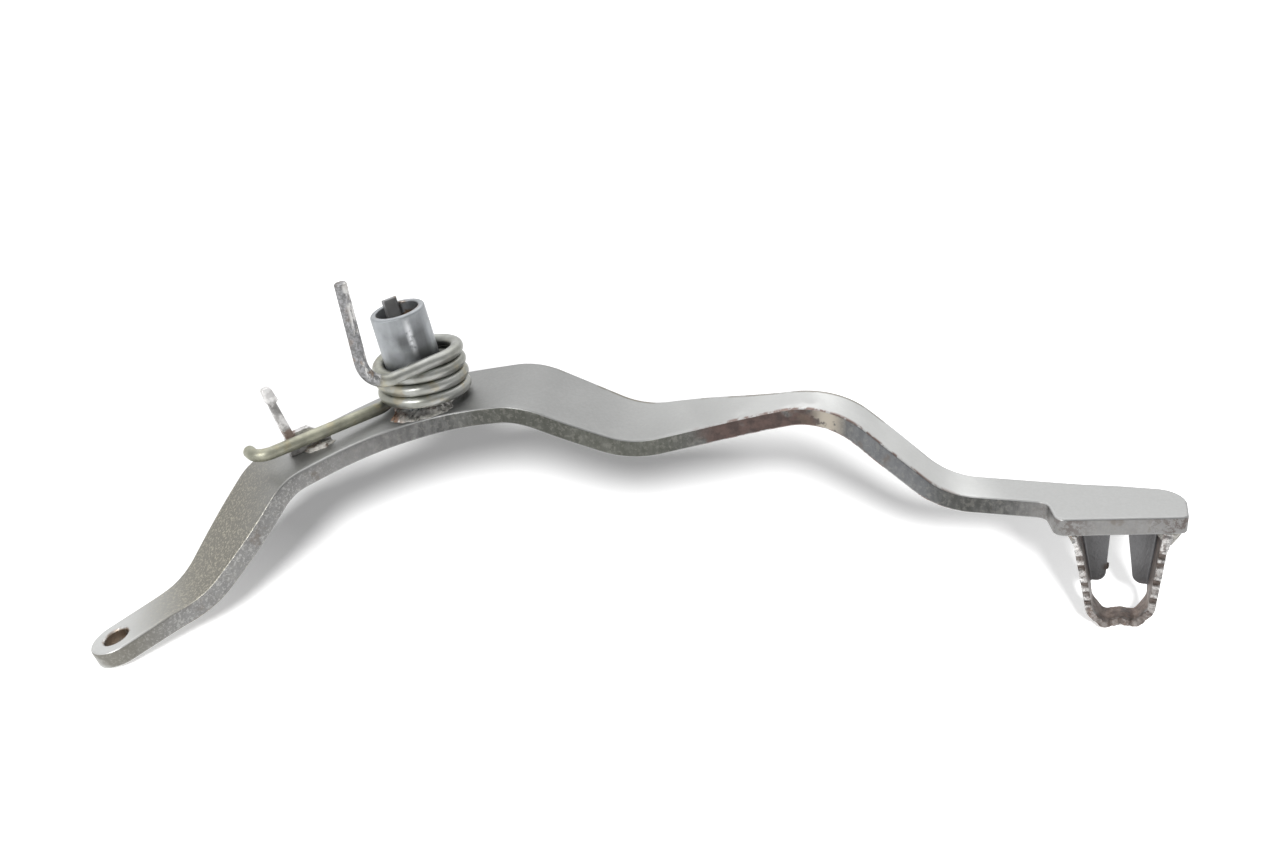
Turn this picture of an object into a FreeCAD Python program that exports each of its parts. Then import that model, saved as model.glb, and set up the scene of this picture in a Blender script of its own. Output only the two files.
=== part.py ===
import FreeCAD, Part
import math
import os

# Rear brake pedal of a motorbike: a bent flat-bar arm with a welded pivot tube, a torsion
# return spring, a hook for the brake-light switch spring and a toothed foot pad of folded sheet.
# Millimetres. Everything is built about the pivot: Z runs up the tube, the seat of the tube is
# the plane Z = 0. At the end the part is leaned over so that it lies as on a bench, tube up.

# Flat bar
PLATE = 6.0

# Long arm, from the pivot to the foot: direction in plan, then its side view
ARM_TURN = -21.0
SEAT_RUN = 35.0
STEP_1_RUN = 31.5
STEP_1_DROP = 20.5
SHELF_RUN = 63.7
STEP_2_RUN = 29.2
STEP_2_DROP = 38.0
TOE_SLOPE = 14.6
NECK_RUN = 13.0
TOE_LENGTH = 61.5
BEND_1 = 27.0
BEND_2 = 27.0
BEND_3 = 30.0
BEND_4 = 26.0
NECK_NEAR = 6.4
NECK_FAR = 8.2

# Short lever, from the pivot to the brake rod
LEVER_TURN = 198.0
LEVER_OFFSET = 2.5
LEVER_RUN = 56.3
LEVER_STEP_RUN = 34.5
LEVER_STEP_DROP = 26.2
LEVER_END_SLOPE = 9.1
LEVER_NECK_RUN = 12.0
LEVER_END_LENGTH = 16.2
LEVER_BEND_1 = 21.0
LEVER_BEND_2 = 28.0
ROD_END_RADIUS = 8.7
ROD_HOLE = 8.4

# Boss round the pivot
BOSS_NEAR = 17.4
BOSS_FAR = 19.0
BOSS_RIGHT = 8.0
BOSS_LEFT = 26.0
BOSS_CROWN = 4.0

# Plan of the long arm: where its edges are set, and how far they swell beyond the neck or the boss
WAIST_AFTER = 14.0
WAIST_BEFORE_NEAR = 14.0
WAIST_BEFORE_FAR = 12.0
WAIST_NEAR_SWELL = 1.0
WAIST_NEAR_START = 0.3
WAIST_FAR_SWELL = 1.3
WAIST_FAR_CUT = 0.9
SHELF_NEAR_AT = 20.0
SHELF_NEAR_SWELL = 4.2
SHELF_FAR_AT = 22.0
SHELF_FAR_SWELL = 5.2
STEP_NEAR_SWELL = 7.4
STEP_FAR_SWELL = 8.0
SEAT_NEAR_AT = 4.0
SEAT_NEAR_CUT = 1.2
SEAT_FAR_AT = 10.0
SEAT_FAR_SWELL = 0.6

# Plan of the short lever, beyond the rod end's radius
LEVER_SEAT_NEAR_AT = 2.0
LEVER_SEAT_NEAR = 5.2
LEVER_SEAT_FAR_AT = 16.0
LEVER_SEAT_FAR = 6.0
LEVER_STEP_AT = 14.0
LEVER_STEP_NEAR = 6.0
LEVER_STEP_FAR = 5.6
LEVER_TOE_NEAR_AT = 2.0
LEVER_TOE_NEAR = 2.4
LEVER_TOE_FAR_AT = 5.0
LEVER_TOE_FAR = 2.8

# Foot plate at the end of the long arm: the near edge slants across it
PAD_NEAR_START = 17.6
PAD_NEAR_END = 9.4
PAD_NOTCH_AT = 16.5
PAD_NOTCH_LENGTH = 5.5
PAD_NOTCH_ROUND = 3.2
PAD_NOTCH_LEAD = 1.5
PAD_NOTCH_TRAIL = 1.2
PAD_NOTCH_LIP = 0.3
TOE_FAR_SWELL = 0.8
TOE_SWELL_START = 34.0
TOE_SWELL_END = 20.0
TOE_SWELL_BEND = 60.0
PAD_FAR_CORNER = 9.0
PAD_NEAR_CORNER = 2.6

# Pivot tube and the bush that it turns on
TUBE_OD = 18.0
TUBE_BORE = 14.0
TUBE_HEIGHT = 33.0
RIM_ROUND = 0.9
RIM_BEVEL = 0.5
BUSH_CLEARANCE = 0.05
BUSH_BORE = 10.0
BUSH_RECESS = 5.0
TONGUE_WIDTH = 5.6
TONGUE_STEP = 0.4
TONGUE_PROUD = 2.4
TONGUE_ANGLE = 103.0

# Return spring: left-hand coil, one leg standing beside the tube, one lying along the lever
WIRE = 4.1
COIL_RADIUS = 13.1
COIL_PITCH = 4.16
COIL_FOOT = 2.2
COIL_TILT = 3.5
COIL_SHIFT_X = 1.45
COIL_SHIFT_Y = -0.3
COIL_END_ANGLE = 160.0
COIL_START_ANGLE = -64.0
COIL_FULL_TURNS = 3
UPRIGHT_KNEE = 3.0
UPRIGHT_KNEE_BEND = 40.0
UPRIGHT_REACH = 23.6
UPRIGHT_LENGTH = 35.7
UPRIGHT_BEND = 9.5
LEG_EXIT = 4.6
LEG_BEND = 7.5
LEG_LENGTH = 47.2
LEG_TIP = 9.0
LEG_TIP_BEND = 4.6

# Hook bracket for the switch spring
HOOK_SHEET = 2.6
HOOK_X = -44.5
HOOK_Y = -11.35
HOOK_TURN = 16.6
HOOK_BASE = 12.9
HOOK_TAB_TOP = 7.3
HOOK_TAB_LENGTH = 6.9
HOOK_BASE_END = 2.4
HOOK_TOP = 24.6
HOOK_BARB = 19.3
HOOK_WIRE_GAP = 1.7
HOOK_WIRE_HEIGHT = 5.4

# Foot pad: a folded strip hung under the foot plate
SHEET = 2.3
PAD_FROM_END = 20.3
PAD_CENTRE = TOE_LENGTH - PAD_FROM_END
PAD_TOP_HALF = 15.2
PAD_CORNER_HALF = 10.8
PAD_CORNER_DROP = 28.0
PAD_FLOOR_HALF = 5.8
PAD_DROP = 33.4
PAD_LEAN = 0.085
PAD_CRIMP = 1.4
PAD_FAR = 3.2
PAD_BRIDGE_DEPTH = 8.2
PAD_SCALLOP = 16.0
PAD_SCALLOP_GAP = 1.2
FLANGE_DROP = 24.4
FLANGE_GAP_TOP = 2.2
FLANGE_GAP_LOW = 4.4
FLANGE_ROUND = 3.0
FLANGE_CORNER = 0.3
TOOTH_COUNT = 6
TOOTH_FIRST = 8.0
TOOTH_PITCH = 3.15
TOOTH_DEPTH = 1.2
TOOTH_WIDTH = 2.0
TOOTH_LEAD = 0.5

# Welds
WELD_RING_LEG = 1.4
WELD_RING_HEIGHT = 2.2
WELD_RUN_REACH = 6.2
WELD_RUN_HEIGHT = 2.0
WELD_RUN_SHOULDER = 1.6
WELD_RUN_FROM = -160.0
WELD_RUN_SWEEP = 108.0
HOOK_WELD_WIDTH = 3.4
HOOK_WELD_HEIGHT = 1.7
HOOK_WELD_LENGTH = 9.0
PAD_WELD_WIDTH = 3.4
PAD_WELD_DROP = 5.2
PAD_WELD_DEPTH = 7.0
PAD_WELD_SETBACK = 0.8

# Lie on the bench: the tube leans back over the lever
REST_LEAN = 13.6

V = FreeCAD.Vector
UP = V(0, 0, 1)
ORIGIN = V(0, 0, 0)


def unit(angle):
    """Direction in the seat plane at an angle from X."""
    return V(math.cos(math.radians(angle)), math.sin(math.radians(angle)), 0)


ARM_DIR = unit(ARM_TURN)
ARM_FAR = unit(ARM_TURN + 90)
LEVER_DIR = unit(LEVER_TURN)
LEVER_FAR = unit(LEVER_TURN - 90)


def arm_point(along, far):
    """Plan point on the long arm: distance from the pivot, then offset to its far side."""
    return ARM_DIR * along + ARM_FAR * far


def lever_point(along, far):
    """Plan point on the short lever, measured from its own middle line."""
    return LEVER_DIR * along + LEVER_FAR * (far + LEVER_OFFSET)


def rounded_path(corners, radii):
    """Straight runs through the corners, joined by tangent arcs of the given radii."""
    edges = []
    start = corners[0]
    for before, corner, after, radius in zip(corners, corners[1:], corners[2:], radii):
        back = (before - corner).normalize()
        ahead = (after - corner).normalize()
        half = math.acos(max(-1.0, min(1.0, back.dot(ahead)))) / 2
        reach = radius / math.tan(half)
        enter = corner + back * reach
        leave = corner + ahead * reach
        middle = (back + ahead).normalize()
        top = corner + middle * (radius / math.sin(half) - radius)
        if (enter - start).Length > 1e-6:
            edges.append(Part.LineSegment(start, enter).toShape())
        edges.append(Part.Arc(enter, top, leave).toShape())
        start = leave
    edges.append(Part.LineSegment(start, corners[-1]).toShape())
    return edges


def lowered(corners, depth):
    """The same side view moved square to itself by the plate's thickness."""
    normals = []
    for a, b in zip(corners, corners[1:]):
        run = (b - a).normalize()
        normals.append(V(run.z, 0, -run.x))
    moved = [corners[0] + normals[0] * depth]
    for corner, n1, n2 in zip(corners[1:], normals, normals[1:]):
        moved.append(corner + (n1 + n2) * (depth / (1 + n1.dot(n2))))
    moved.append(corners[-1] + normals[-1] * depth)
    return moved


def bent_bar(corners, radii, convex, width, turn):
    """Flat bar bent to a side view in XZ, turned about Z to lie along its arm."""
    below = lowered(corners, PLATE)
    low_radii = [r - PLATE if out else r + PLATE for r, out in zip(radii, convex)]
    top = rounded_path(corners, radii)
    low = rounded_path(below, low_radii)
    ends = [line(corners[-1], below[-1]), line(below[0], corners[0])]
    outline = Part.Wire(Part.__sortEdges__(top + low + ends))
    bar = Part.Face(outline).extrude(V(0, 2 * width, 0))
    bar.translate(V(0, -width, 0))
    bar.rotate(ORIGIN, UP, turn)
    return bar


def spline(points, first=None, last=None):
    """One smooth edge through the points, with set end directions where given."""
    curve = Part.BSplineCurve()
    if first is None:
        curve.interpolate(points)
    else:
        curve.interpolate(points, InitialTangent=first, FinalTangent=last)
    return curve.toShape()


def line(a, b):
    return Part.LineSegment(a, b).toShape()


def polygon(points):
    return Part.Face(Part.makePolygon(points + [points[0]]))


def tidy(shape):
    """One clean solid out of a boolean result."""
    clean = shape.removeSplitter()
    return clean.Solids[0] if len(clean.Solids) == 1 else clean


# Side views of both arms, as corners of the top face

SHELF_START = V(SEAT_RUN + STEP_1_RUN, 0, -STEP_1_DROP)
SHELF_END = V(SHELF_START.x + SHELF_RUN, 0, -STEP_1_DROP)
TOE_CORNER = V(SHELF_END.x + STEP_2_RUN, 0, -STEP_1_DROP - STEP_2_DROP)
TOE_RUN = V(math.cos(math.radians(TOE_SLOPE)), 0, -math.sin(math.radians(TOE_SLOPE)))
NECK_END = TOE_CORNER + TOE_RUN * NECK_RUN
LEVER_CORNER = V(LEVER_RUN + LEVER_STEP_RUN, 0, -LEVER_STEP_DROP)
LEVER_END_RUN = V(math.cos(math.radians(LEVER_END_SLOPE)), 0, -math.sin(math.radians(LEVER_END_SLOPE)))
LEVER_NECK_END = LEVER_CORNER + LEVER_END_RUN * LEVER_NECK_RUN
SEAT_OVERLAP = V(-2 * PLATE, 0, 0)


def on_arm(side_point, far):
    """Place a side-view point of the long arm in space."""
    return ARM_DIR * side_point.x + ARM_FAR * far + UP * side_point.z


def on_lever(side_point, far):
    """Place a side-view point of the short lever in space."""
    return LEVER_DIR * side_point.x + LEVER_FAR * (far + LEVER_OFFSET) + UP * side_point.z


TOE_ALONG = ARM_DIR * TOE_RUN.x + UP * TOE_RUN.z
TOE_DOWN = ARM_FAR.cross(TOE_ALONG)
LEVER_ALONG = LEVER_DIR * LEVER_END_RUN.x + UP * LEVER_END_RUN.z
LEVER_DOWN = LEVER_ALONG.cross(LEVER_FAR)


def toe_point(along, far, down=0.0):
    """Point in the foot plate's plane: from the end of the neck, to its far side, below its top."""
    return on_arm(NECK_END, far) + TOE_ALONG * along + TOE_DOWN * down


def blank_outline():
    """Plan of the bar between the rod end and the foot plate: two tapering arms from one boss."""
    neck = NECK_END.x
    tip = LEVER_NECK_END.x
    near = [
        arm_point(neck, -NECK_NEAR),
        arm_point(SHELF_END.x + WAIST_AFTER, -NECK_NEAR - WAIST_NEAR_SWELL),
        arm_point(SHELF_END.x - WAIST_BEFORE_NEAR, -NECK_NEAR - WAIST_NEAR_START),
        arm_point(SHELF_START.x + SHELF_NEAR_AT, -NECK_NEAR - SHELF_NEAR_SWELL),
        arm_point(SHELF_START.x, -NECK_NEAR - STEP_NEAR_SWELL),
        arm_point(SEAT_RUN + SEAT_NEAR_AT, -BOSS_NEAR + SEAT_NEAR_CUT),
        V(BOSS_RIGHT, -BOSS_NEAR, 0),
        V(-BOSS_LEFT, -BOSS_NEAR, 0),
        lever_point(LEVER_RUN - LEVER_SEAT_NEAR_AT, -ROD_END_RADIUS - LEVER_SEAT_NEAR),
        lever_point(LEVER_RUN + LEVER_STEP_AT, -ROD_END_RADIUS - LEVER_STEP_NEAR),
        lever_point(LEVER_CORNER.x - LEVER_TOE_NEAR_AT, -ROD_END_RADIUS - LEVER_TOE_NEAR),
        lever_point(tip, -ROD_END_RADIUS),
    ]
    far = [
        lever_point(tip, ROD_END_RADIUS),
        lever_point(LEVER_CORNER.x - LEVER_TOE_FAR_AT, ROD_END_RADIUS + LEVER_TOE_FAR),
        lever_point(LEVER_RUN + LEVER_STEP_AT, ROD_END_RADIUS + LEVER_STEP_FAR),
        lever_point(LEVER_RUN - LEVER_SEAT_FAR_AT, ROD_END_RADIUS + LEVER_SEAT_FAR),
        V(-BOSS_CROWN, BOSS_FAR, 0),
        arm_point(SEAT_RUN - SEAT_FAR_AT, BOSS_FAR + SEAT_FAR_SWELL),
        arm_point(SHELF_START.x, NECK_FAR + STEP_FAR_SWELL),
        arm_point(SHELF_START.x + SHELF_FAR_AT, NECK_FAR + SHELF_FAR_SWELL),
        arm_point(SHELF_END.x - WAIST_BEFORE_FAR, NECK_FAR - WAIST_FAR_CUT),
        arm_point(SHELF_END.x + WAIST_AFTER, NECK_FAR + WAIST_FAR_SWELL),
        arm_point(neck, NECK_FAR),
    ]
    edges = [
        spline(near, -ARM_DIR, LEVER_DIR),
        line(near[-1], far[0]),
        spline(far, -LEVER_DIR, ARM_DIR),
        line(far[-1], near[0]),
    ]
    return Part.Face(Part.Wire(edges))


def foot_plate():
    """Flat end of the long arm: an S-shaped notch widens it to the near side, the end is rounded."""
    notch_end = PAD_NOTCH_AT + PAD_NOTCH_LENGTH
    length = TOE_LENGTH
    near_end = toe_point(length, -PAD_NEAR_END)
    slant = (near_end - toe_point(notch_end, -PAD_NEAR_START)).normalize()
    corners = [
        toe_point(0, -NECK_NEAR),
        toe_point(PAD_NOTCH_AT + PAD_NOTCH_LEAD, -NECK_NEAR),
        toe_point(notch_end - PAD_NOTCH_TRAIL, -PAD_NEAR_START - PAD_NOTCH_LIP),
        near_end,
        toe_point(length, NECK_FAR + TOE_FAR_SWELL),
        toe_point(length - TOE_SWELL_END, NECK_FAR + TOE_FAR_SWELL),
        toe_point(length - TOE_SWELL_START, NECK_FAR),
        toe_point(0, NECK_FAR),
    ]
    rounds = [PAD_NOTCH_ROUND, PAD_NOTCH_ROUND, PAD_NEAR_CORNER, PAD_FAR_CORNER]
    rounds += [TOE_SWELL_BEND, TOE_SWELL_BEND]
    edges = rounded_path(corners, rounds)
    edges.append(line(corners[-1], corners[0]))
    return Part.Face(Part.Wire(edges)).extrude(TOE_DOWN * PLATE), slant


def rod_end():
    """Flat end of the short lever, round about the hole for the brake rod."""
    base = on_lever(LEVER_NECK_END, 0)
    eye = base + LEVER_ALONG * LEVER_END_LENGTH
    near = LEVER_FAR * -ROD_END_RADIUS
    far = LEVER_FAR * ROD_END_RADIUS
    arc = Part.Arc(eye + near, eye + LEVER_ALONG * ROD_END_RADIUS, eye + far).toShape()
    edges = [line(base + near, eye + near), arc, line(eye + far, base + far), line(base + far, base + near)]
    plate = Part.Face(Part.Wire(edges)).extrude(LEVER_DOWN * PLATE)
    hole = Part.makeCylinder(ROD_HOLE / 2, 3 * PLATE, eye - LEVER_DOWN * PLATE, LEVER_DOWN)
    return plate, hole, eye


def pedal_arm():
    """The one bent bar: both side views bent, trimmed to the plan, with its flat ends."""
    blank = BOSS_NEAR + BOSS_FAR
    arm = bent_bar(
        [SEAT_OVERLAP, V(SEAT_RUN, 0, 0), SHELF_START, SHELF_END, TOE_CORNER, NECK_END],
        [BEND_1, BEND_2, BEND_3, BEND_4],
        [True, False, True, False],
        blank,
        ARM_TURN,
    )
    lever = bent_bar(
        [SEAT_OVERLAP, V(LEVER_RUN, 0, 0), LEVER_CORNER, LEVER_NECK_END],
        [LEVER_BEND_1, LEVER_BEND_2],
        [True, False],
        blank,
        LEVER_TURN,
    )
    reach = NECK_END.x + TOE_LENGTH
    trim = blank_outline()
    trim.translate(V(0, 0, -150))
    trim = trim.extrude(V(0, 0, 200))
    seat_split = Part.makeBox(reach, 2 * reach, 2 * reach, V(0, -reach, -reach))
    arm = arm.common(trim).common(seat_split)
    lever = lever.common(trim).cut(seat_split)
    toe, slant = foot_plate()
    end, hole, eye = rod_end()
    body = arm.fuse([lever, toe, end])
    bore = Part.makeCylinder(TUBE_BORE / 2, 3 * PLATE, V(0, 0, -2 * PLATE))
    return tidy(body.cut([bore, hole])), slant, eye


def pivot_tube():
    """Turned tube standing on the seat, its rim rounded outside and bevelled inside."""
    outer = TUBE_OD / 2
    inner = TUBE_BORE / 2
    top = TUBE_HEIGHT
    bend = RIM_ROUND * (1 - math.sqrt(0.5))
    edges = [
        line(V(inner, 0, 0), V(outer, 0, 0)),
        line(V(outer, 0, 0), V(outer, 0, top - RIM_ROUND)),
        Part.Arc(
            V(outer, 0, top - RIM_ROUND), V(outer - bend, 0, top - bend), V(outer - RIM_ROUND, 0, top)
        ).toShape(),
        line(V(outer - RIM_ROUND, 0, top), V(inner + RIM_BEVEL, 0, top)),
        line(V(inner + RIM_BEVEL, 0, top), V(inner, 0, top - RIM_BEVEL)),
        line(V(inner, 0, top - RIM_BEVEL), V(inner, 0, 0)),
    ]
    return Part.Face(Part.Wire(edges)).revolve(ORIGIN, UP, 360).Solids[0]


def pivot_bush():
    """Sleeve in the bore, with a tongue standing above the rim that keys it to the frame."""
    outer = TUBE_BORE / 2 - BUSH_CLEARANCE
    top = TUBE_HEIGHT - BUSH_RECESS
    sleeve = Part.makeCylinder(outer, top + PLATE, V(0, 0, -PLATE))
    tall = Part.makeCylinder(outer, BUSH_RECESS + TONGUE_PROUD, V(0, 0, top))
    strip = Part.makeBox(outer, TONGUE_WIDTH, BUSH_RECESS + TONGUE_PROUD, V(0, -TONGUE_WIDTH / 2, top))
    strip.rotate(ORIGIN, UP, TONGUE_ANGLE)
    inside = Part.makeCylinder(BUSH_BORE / 2 + TONGUE_STEP, BUSH_RECESS + TONGUE_PROUD, V(0, 0, top))
    hollow = Part.makeCylinder(BUSH_BORE / 2, top + PLATE, V(0, 0, -PLATE))
    return tidy(sleeve.cut(hollow).fuse(tall.common(strip).cut(inside)))


def wire_along(edges):
    """Round wire swept along a path of runs and arcs."""
    path = Part.Wire(edges)
    first = edges[0]
    start = first.valueAt(first.FirstParameter)
    heading = first.tangentAt(first.FirstParameter)
    section = Part.Wire([Part.makeCircle(WIRE / 2, start, heading)])
    return path.makePipeShell([section], True, True)


def return_spring(hook_face, hook_normal):
    """Torsion spring: close left-hand turns, a standing leg and a long leg against the hook."""
    turns = COIL_FULL_TURNS + (COIL_END_ANGLE - COIL_START_ANGLE) / 360.0
    rise = COIL_PITCH * turns
    helix = Part.makeHelix(COIL_PITCH, rise, COIL_RADIUS, 0, True)
    helix.rotate(ORIGIN, UP, COIL_END_ANGLE)
    helix.translate(V(0, 0, COIL_FOOT))
    centre = V(0, 0, COIL_FOOT + rise / 2)
    helix.rotate(centre, V(0, 1, 0), COIL_TILT)
    helix.translate(V(COIL_SHIFT_X, COIL_SHIFT_Y, 0))
    axis = FreeCAD.Rotation(V(0, 1, 0), COIL_TILT).multVec(UP)
    ends = []
    for edge in helix.Edges:
        for parameter in (edge.FirstParameter, edge.LastParameter):
            ends.append((edge.valueAt(parameter), edge.tangentAt(parameter)))
    ends.sort(key=lambda pair: pair[0].z)
    foot, foot_run = ends[0]
    head, head_run = ends[-1]
    inside = V(foot.x, foot.y, 0)
    if foot_run.dot(UP.cross(inside)) < 0:
        foot_run = foot_run * -1
    if head_run.dot(UP.cross(V(head.x, head.y, 0))) > 0:
        head_run = head_run * -1
    section = Part.Wire([Part.makeCircle(WIRE / 2, foot, foot_run)])
    coil = Part.Wire(helix.Edges).makePipeShell([section], True, True)

    knee = head + head_run * UPRIGHT_KNEE
    level = (head_run - axis * head_run.dot(axis)).normalize()
    elbow = knee + level * UPRIGHT_REACH
    top = elbow + axis * UPRIGHT_LENGTH
    upright = wire_along(rounded_path([head, knee, elbow, top], [UPRIGHT_KNEE_BEND, UPRIGHT_BEND]))

    exit_corner = foot + foot_run * LEG_EXIT
    bearing = hook_face + hook_normal * (WIRE / 2 + HOOK_WIRE_GAP) + UP * HOOK_WIRE_HEIGHT
    run = (bearing - exit_corner).normalize()
    tip_corner = exit_corner + run * LEG_LENGTH
    tip = tip_corner + (hook_normal * -1) * LEG_TIP
    leg = wire_along(rounded_path([foot, exit_corner, tip_corner, tip], [LEG_BEND, LEG_TIP_BEND]))
    return tidy(coil.fuse([upright, leg]))


HOOK_DIR = unit(HOOK_TURN)
HOOK_OUT = unit(HOOK_TURN - 90)
HOOK_FOOT = V(HOOK_X, HOOK_Y, 0)


def hook_point(along, high, back=0.0):
    """Point in the bracket's sheet: along its base, up from the seat, behind its near face."""
    return HOOK_FOOT + HOOK_DIR * along + UP * high - HOOK_OUT * back


def switch_hook():
    """Stamped bracket on edge: a low welded base and a slender hook with a barbed head."""
    outline = [
        hook_point(-1.2, 0),
        hook_point(HOOK_BASE, 0),
        hook_point(HOOK_BASE, HOOK_BASE_END),
        hook_point(HOOK_TAB_LENGTH, HOOK_TAB_TOP),
        hook_point(1.7, HOOK_TAB_TOP),
        hook_point(0.5, HOOK_BARB - 5),
        hook_point(-0.3, HOOK_BARB - 0.3),
        hook_point(0.6, HOOK_BARB + 0.4),
        hook_point(-0.4, HOOK_TOP - 0.6),
        hook_point(-1.2, HOOK_TOP),
        hook_point(-3.1, HOOK_TOP - 0.2),
        hook_point(-3.5, HOOK_TOP - 1.0),
        hook_point(-3.2, HOOK_BARB + 0.3),
        hook_point(-2.6, HOOK_BARB - 0.5),
        hook_point(-2.2, HOOK_BARB - 5),
        hook_point(-1.2, HOOK_TAB_TOP),
    ]
    return polygon(outline).extrude(HOOK_OUT * -HOOK_SHEET)


def hook_weld():
    """Bead along the foot of the bracket's near face."""
    start = hook_point(HOOK_BASE - HOOK_WELD_LENGTH, 0)
    tip = start + HOOK_OUT * HOOK_WELD_WIDTH
    crown = start + HOOK_OUT * (HOOK_WELD_WIDTH * 0.62) + UP * (HOOK_WELD_HEIGHT * 0.72)
    top = start + UP * HOOK_WELD_HEIGHT
    edges = [line(start, tip), Part.Arc(tip, crown, top).toShape(), line(top, start)]
    return Part.Face(Part.Wire(edges)).extrude(HOOK_DIR * HOOK_WELD_LENGTH)


def tube_weld():
    """Fillet weld round the tube's foot, with the wide run that shows below the coil."""
    outer = TUBE_OD / 2
    ring = polygon([V(outer, 0, 0), V(outer + WELD_RING_LEG, 0, 0), V(outer, 0, WELD_RING_HEIGHT)])
    ring = ring.revolve(ORIGIN, UP, 360)
    reach = outer + WELD_RUN_REACH
    edges = [
        line(V(outer, 0, 0), V(reach, 0, 0)),
        Part.Arc(
            V(reach, 0, 0),
            V(reach - WELD_RUN_SHOULDER, 0, WELD_RUN_HEIGHT * 0.72),
            V(outer + WELD_RUN_REACH / 2, 0, WELD_RUN_HEIGHT),
        ).toShape(),
        line(V(outer + WELD_RUN_REACH / 2, 0, WELD_RUN_HEIGHT), V(outer, 0, WELD_RUN_HEIGHT)),
        line(V(outer, 0, WELD_RUN_HEIGHT), V(outer, 0, 0)),
    ]
    run = Part.Face(Part.Wire(edges)).revolve(ORIGIN, UP, WELD_RUN_SWEEP)
    run.rotate(ORIGIN, UP, WELD_RUN_FROM)
    return tidy(ring.fuse(run))


def pad_point(wide, drop, far=0.0):
    """Point on the foot pad: across its middle, below the plate's underside, to the far side."""
    return toe_point(PAD_CENTRE + wide + PAD_LEAN * drop, far, PLATE + drop)


PAD_NEAR_REACH = -2 * PAD_NEAR_START


def pad_leg_half(drop):
    """Half width outside the legs, which lean in towards the floor."""
    return PAD_TOP_HALF + (PAD_CORNER_HALF - PAD_TOP_HALF) * drop / PAD_CORNER_DROP


def pad_section(inset):
    """Half-open U seen from the near side, set in by a part of the sheet."""
    lean = math.atan2(PAD_TOP_HALF - PAD_CORNER_HALF, PAD_CORNER_DROP)
    side = inset / math.cos(lean)
    floor = PAD_DROP - inset
    knee = inset * 0.45
    right = [
        (PAD_TOP_HALF - side, 0),
        (PAD_CORNER_HALF - side, PAD_CORNER_DROP - knee),
        (PAD_FLOOR_HALF - knee, floor),
        (0, floor - PAD_CRIMP),
    ]
    left = [(-wide, drop) for wide, drop in reversed(right[:-1])]
    return [pad_point(wide, drop, PAD_NEAR_REACH) for wide, drop in right + left]


def foot_pad(slant):
    """Folded strip: a tapering U with toothed near edges and its far edges turned inwards."""
    depth = PAD_FAR - PAD_NEAR_REACH
    outer = polygon(pad_section(0.0)).extrude(ARM_FAR * depth)
    inner = polygon(pad_section(SHEET)).extrude(ARM_FAR * depth)
    pad = outer.cut(inner)
    for side in (-1, 1):
        top_out = side * (PAD_TOP_HALF - SHEET / 2)
        low_out = side * (pad_leg_half(FLANGE_DROP) - SHEET / 2)
        low_in = side * FLANGE_GAP_LOW
        corners = [
            pad_point(top_out, 0, PAD_FAR),
            pad_point(side * FLANGE_GAP_TOP, 0, PAD_FAR),
            pad_point(low_in, FLANGE_DROP, PAD_FAR),
            pad_point(low_out, FLANGE_DROP, PAD_FAR),
        ]
        edges = rounded_path(corners, [FLANGE_CORNER, FLANGE_ROUND])
        edges.append(line(corners[-1], corners[0]))
        pad = pad.fuse(Part.Face(Part.Wire(edges)).extrude(ARM_FAR * -SHEET))

    # The toothed edges follow the slanted near edge of the foot plate
    edge_start = toe_point(TOE_LENGTH, -PAD_NEAR_END, -PLATE) - slant * TOE_LENGTH
    edge_end = edge_start + slant * (2 * TOE_LENGTH)
    toward = ARM_FAR * (2 * PAD_NEAR_REACH)
    ahead = polygon([edge_start, edge_end, edge_end + toward, edge_start + toward])
    pad = pad.cut(ahead.extrude(TOE_DOWN * (2 * PAD_DROP)))
    square = slant.cross(TOE_DOWN)
    if square.dot(ARM_FAR) < 0:
        square = square * -1
    base = toe_point(TOE_LENGTH, -PAD_NEAR_END) - slant * TOE_LENGTH
    for tooth in range(TOOTH_COUNT):
        drop = PLATE + TOOTH_FIRST + TOOTH_PITCH * tooth
        deep = TOOTH_DEPTH + TOOTH_LEAD
        mouth = base + TOE_DOWN * drop - square * TOOTH_LEAD
        wide = TOOTH_WIDTH * deep / TOOTH_DEPTH / 2
        notch = polygon([mouth - TOE_DOWN * wide, mouth + TOE_DOWN * wide, mouth + square * deep])
        pad = pad.cut(notch.extrude(slant * (2 * TOE_LENGTH)))

    # The floor's far edge is cut back to a hollow curve
    edge_far = base + slant * TOE_LENGTH + square * PAD_BRIDGE_DEPTH
    middle = edge_far - slant * (TOE_LENGTH - PAD_CENTRE)
    scallop_axis = middle + square * PAD_SCALLOP
    scallop = Part.makeCylinder(
        PAD_SCALLOP, PAD_DROP, scallop_axis + TOE_DOWN * (PLATE + FLANGE_DROP + PAD_SCALLOP_GAP), TOE_DOWN
    )
    return tidy(pad.cut(scallop))


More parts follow.
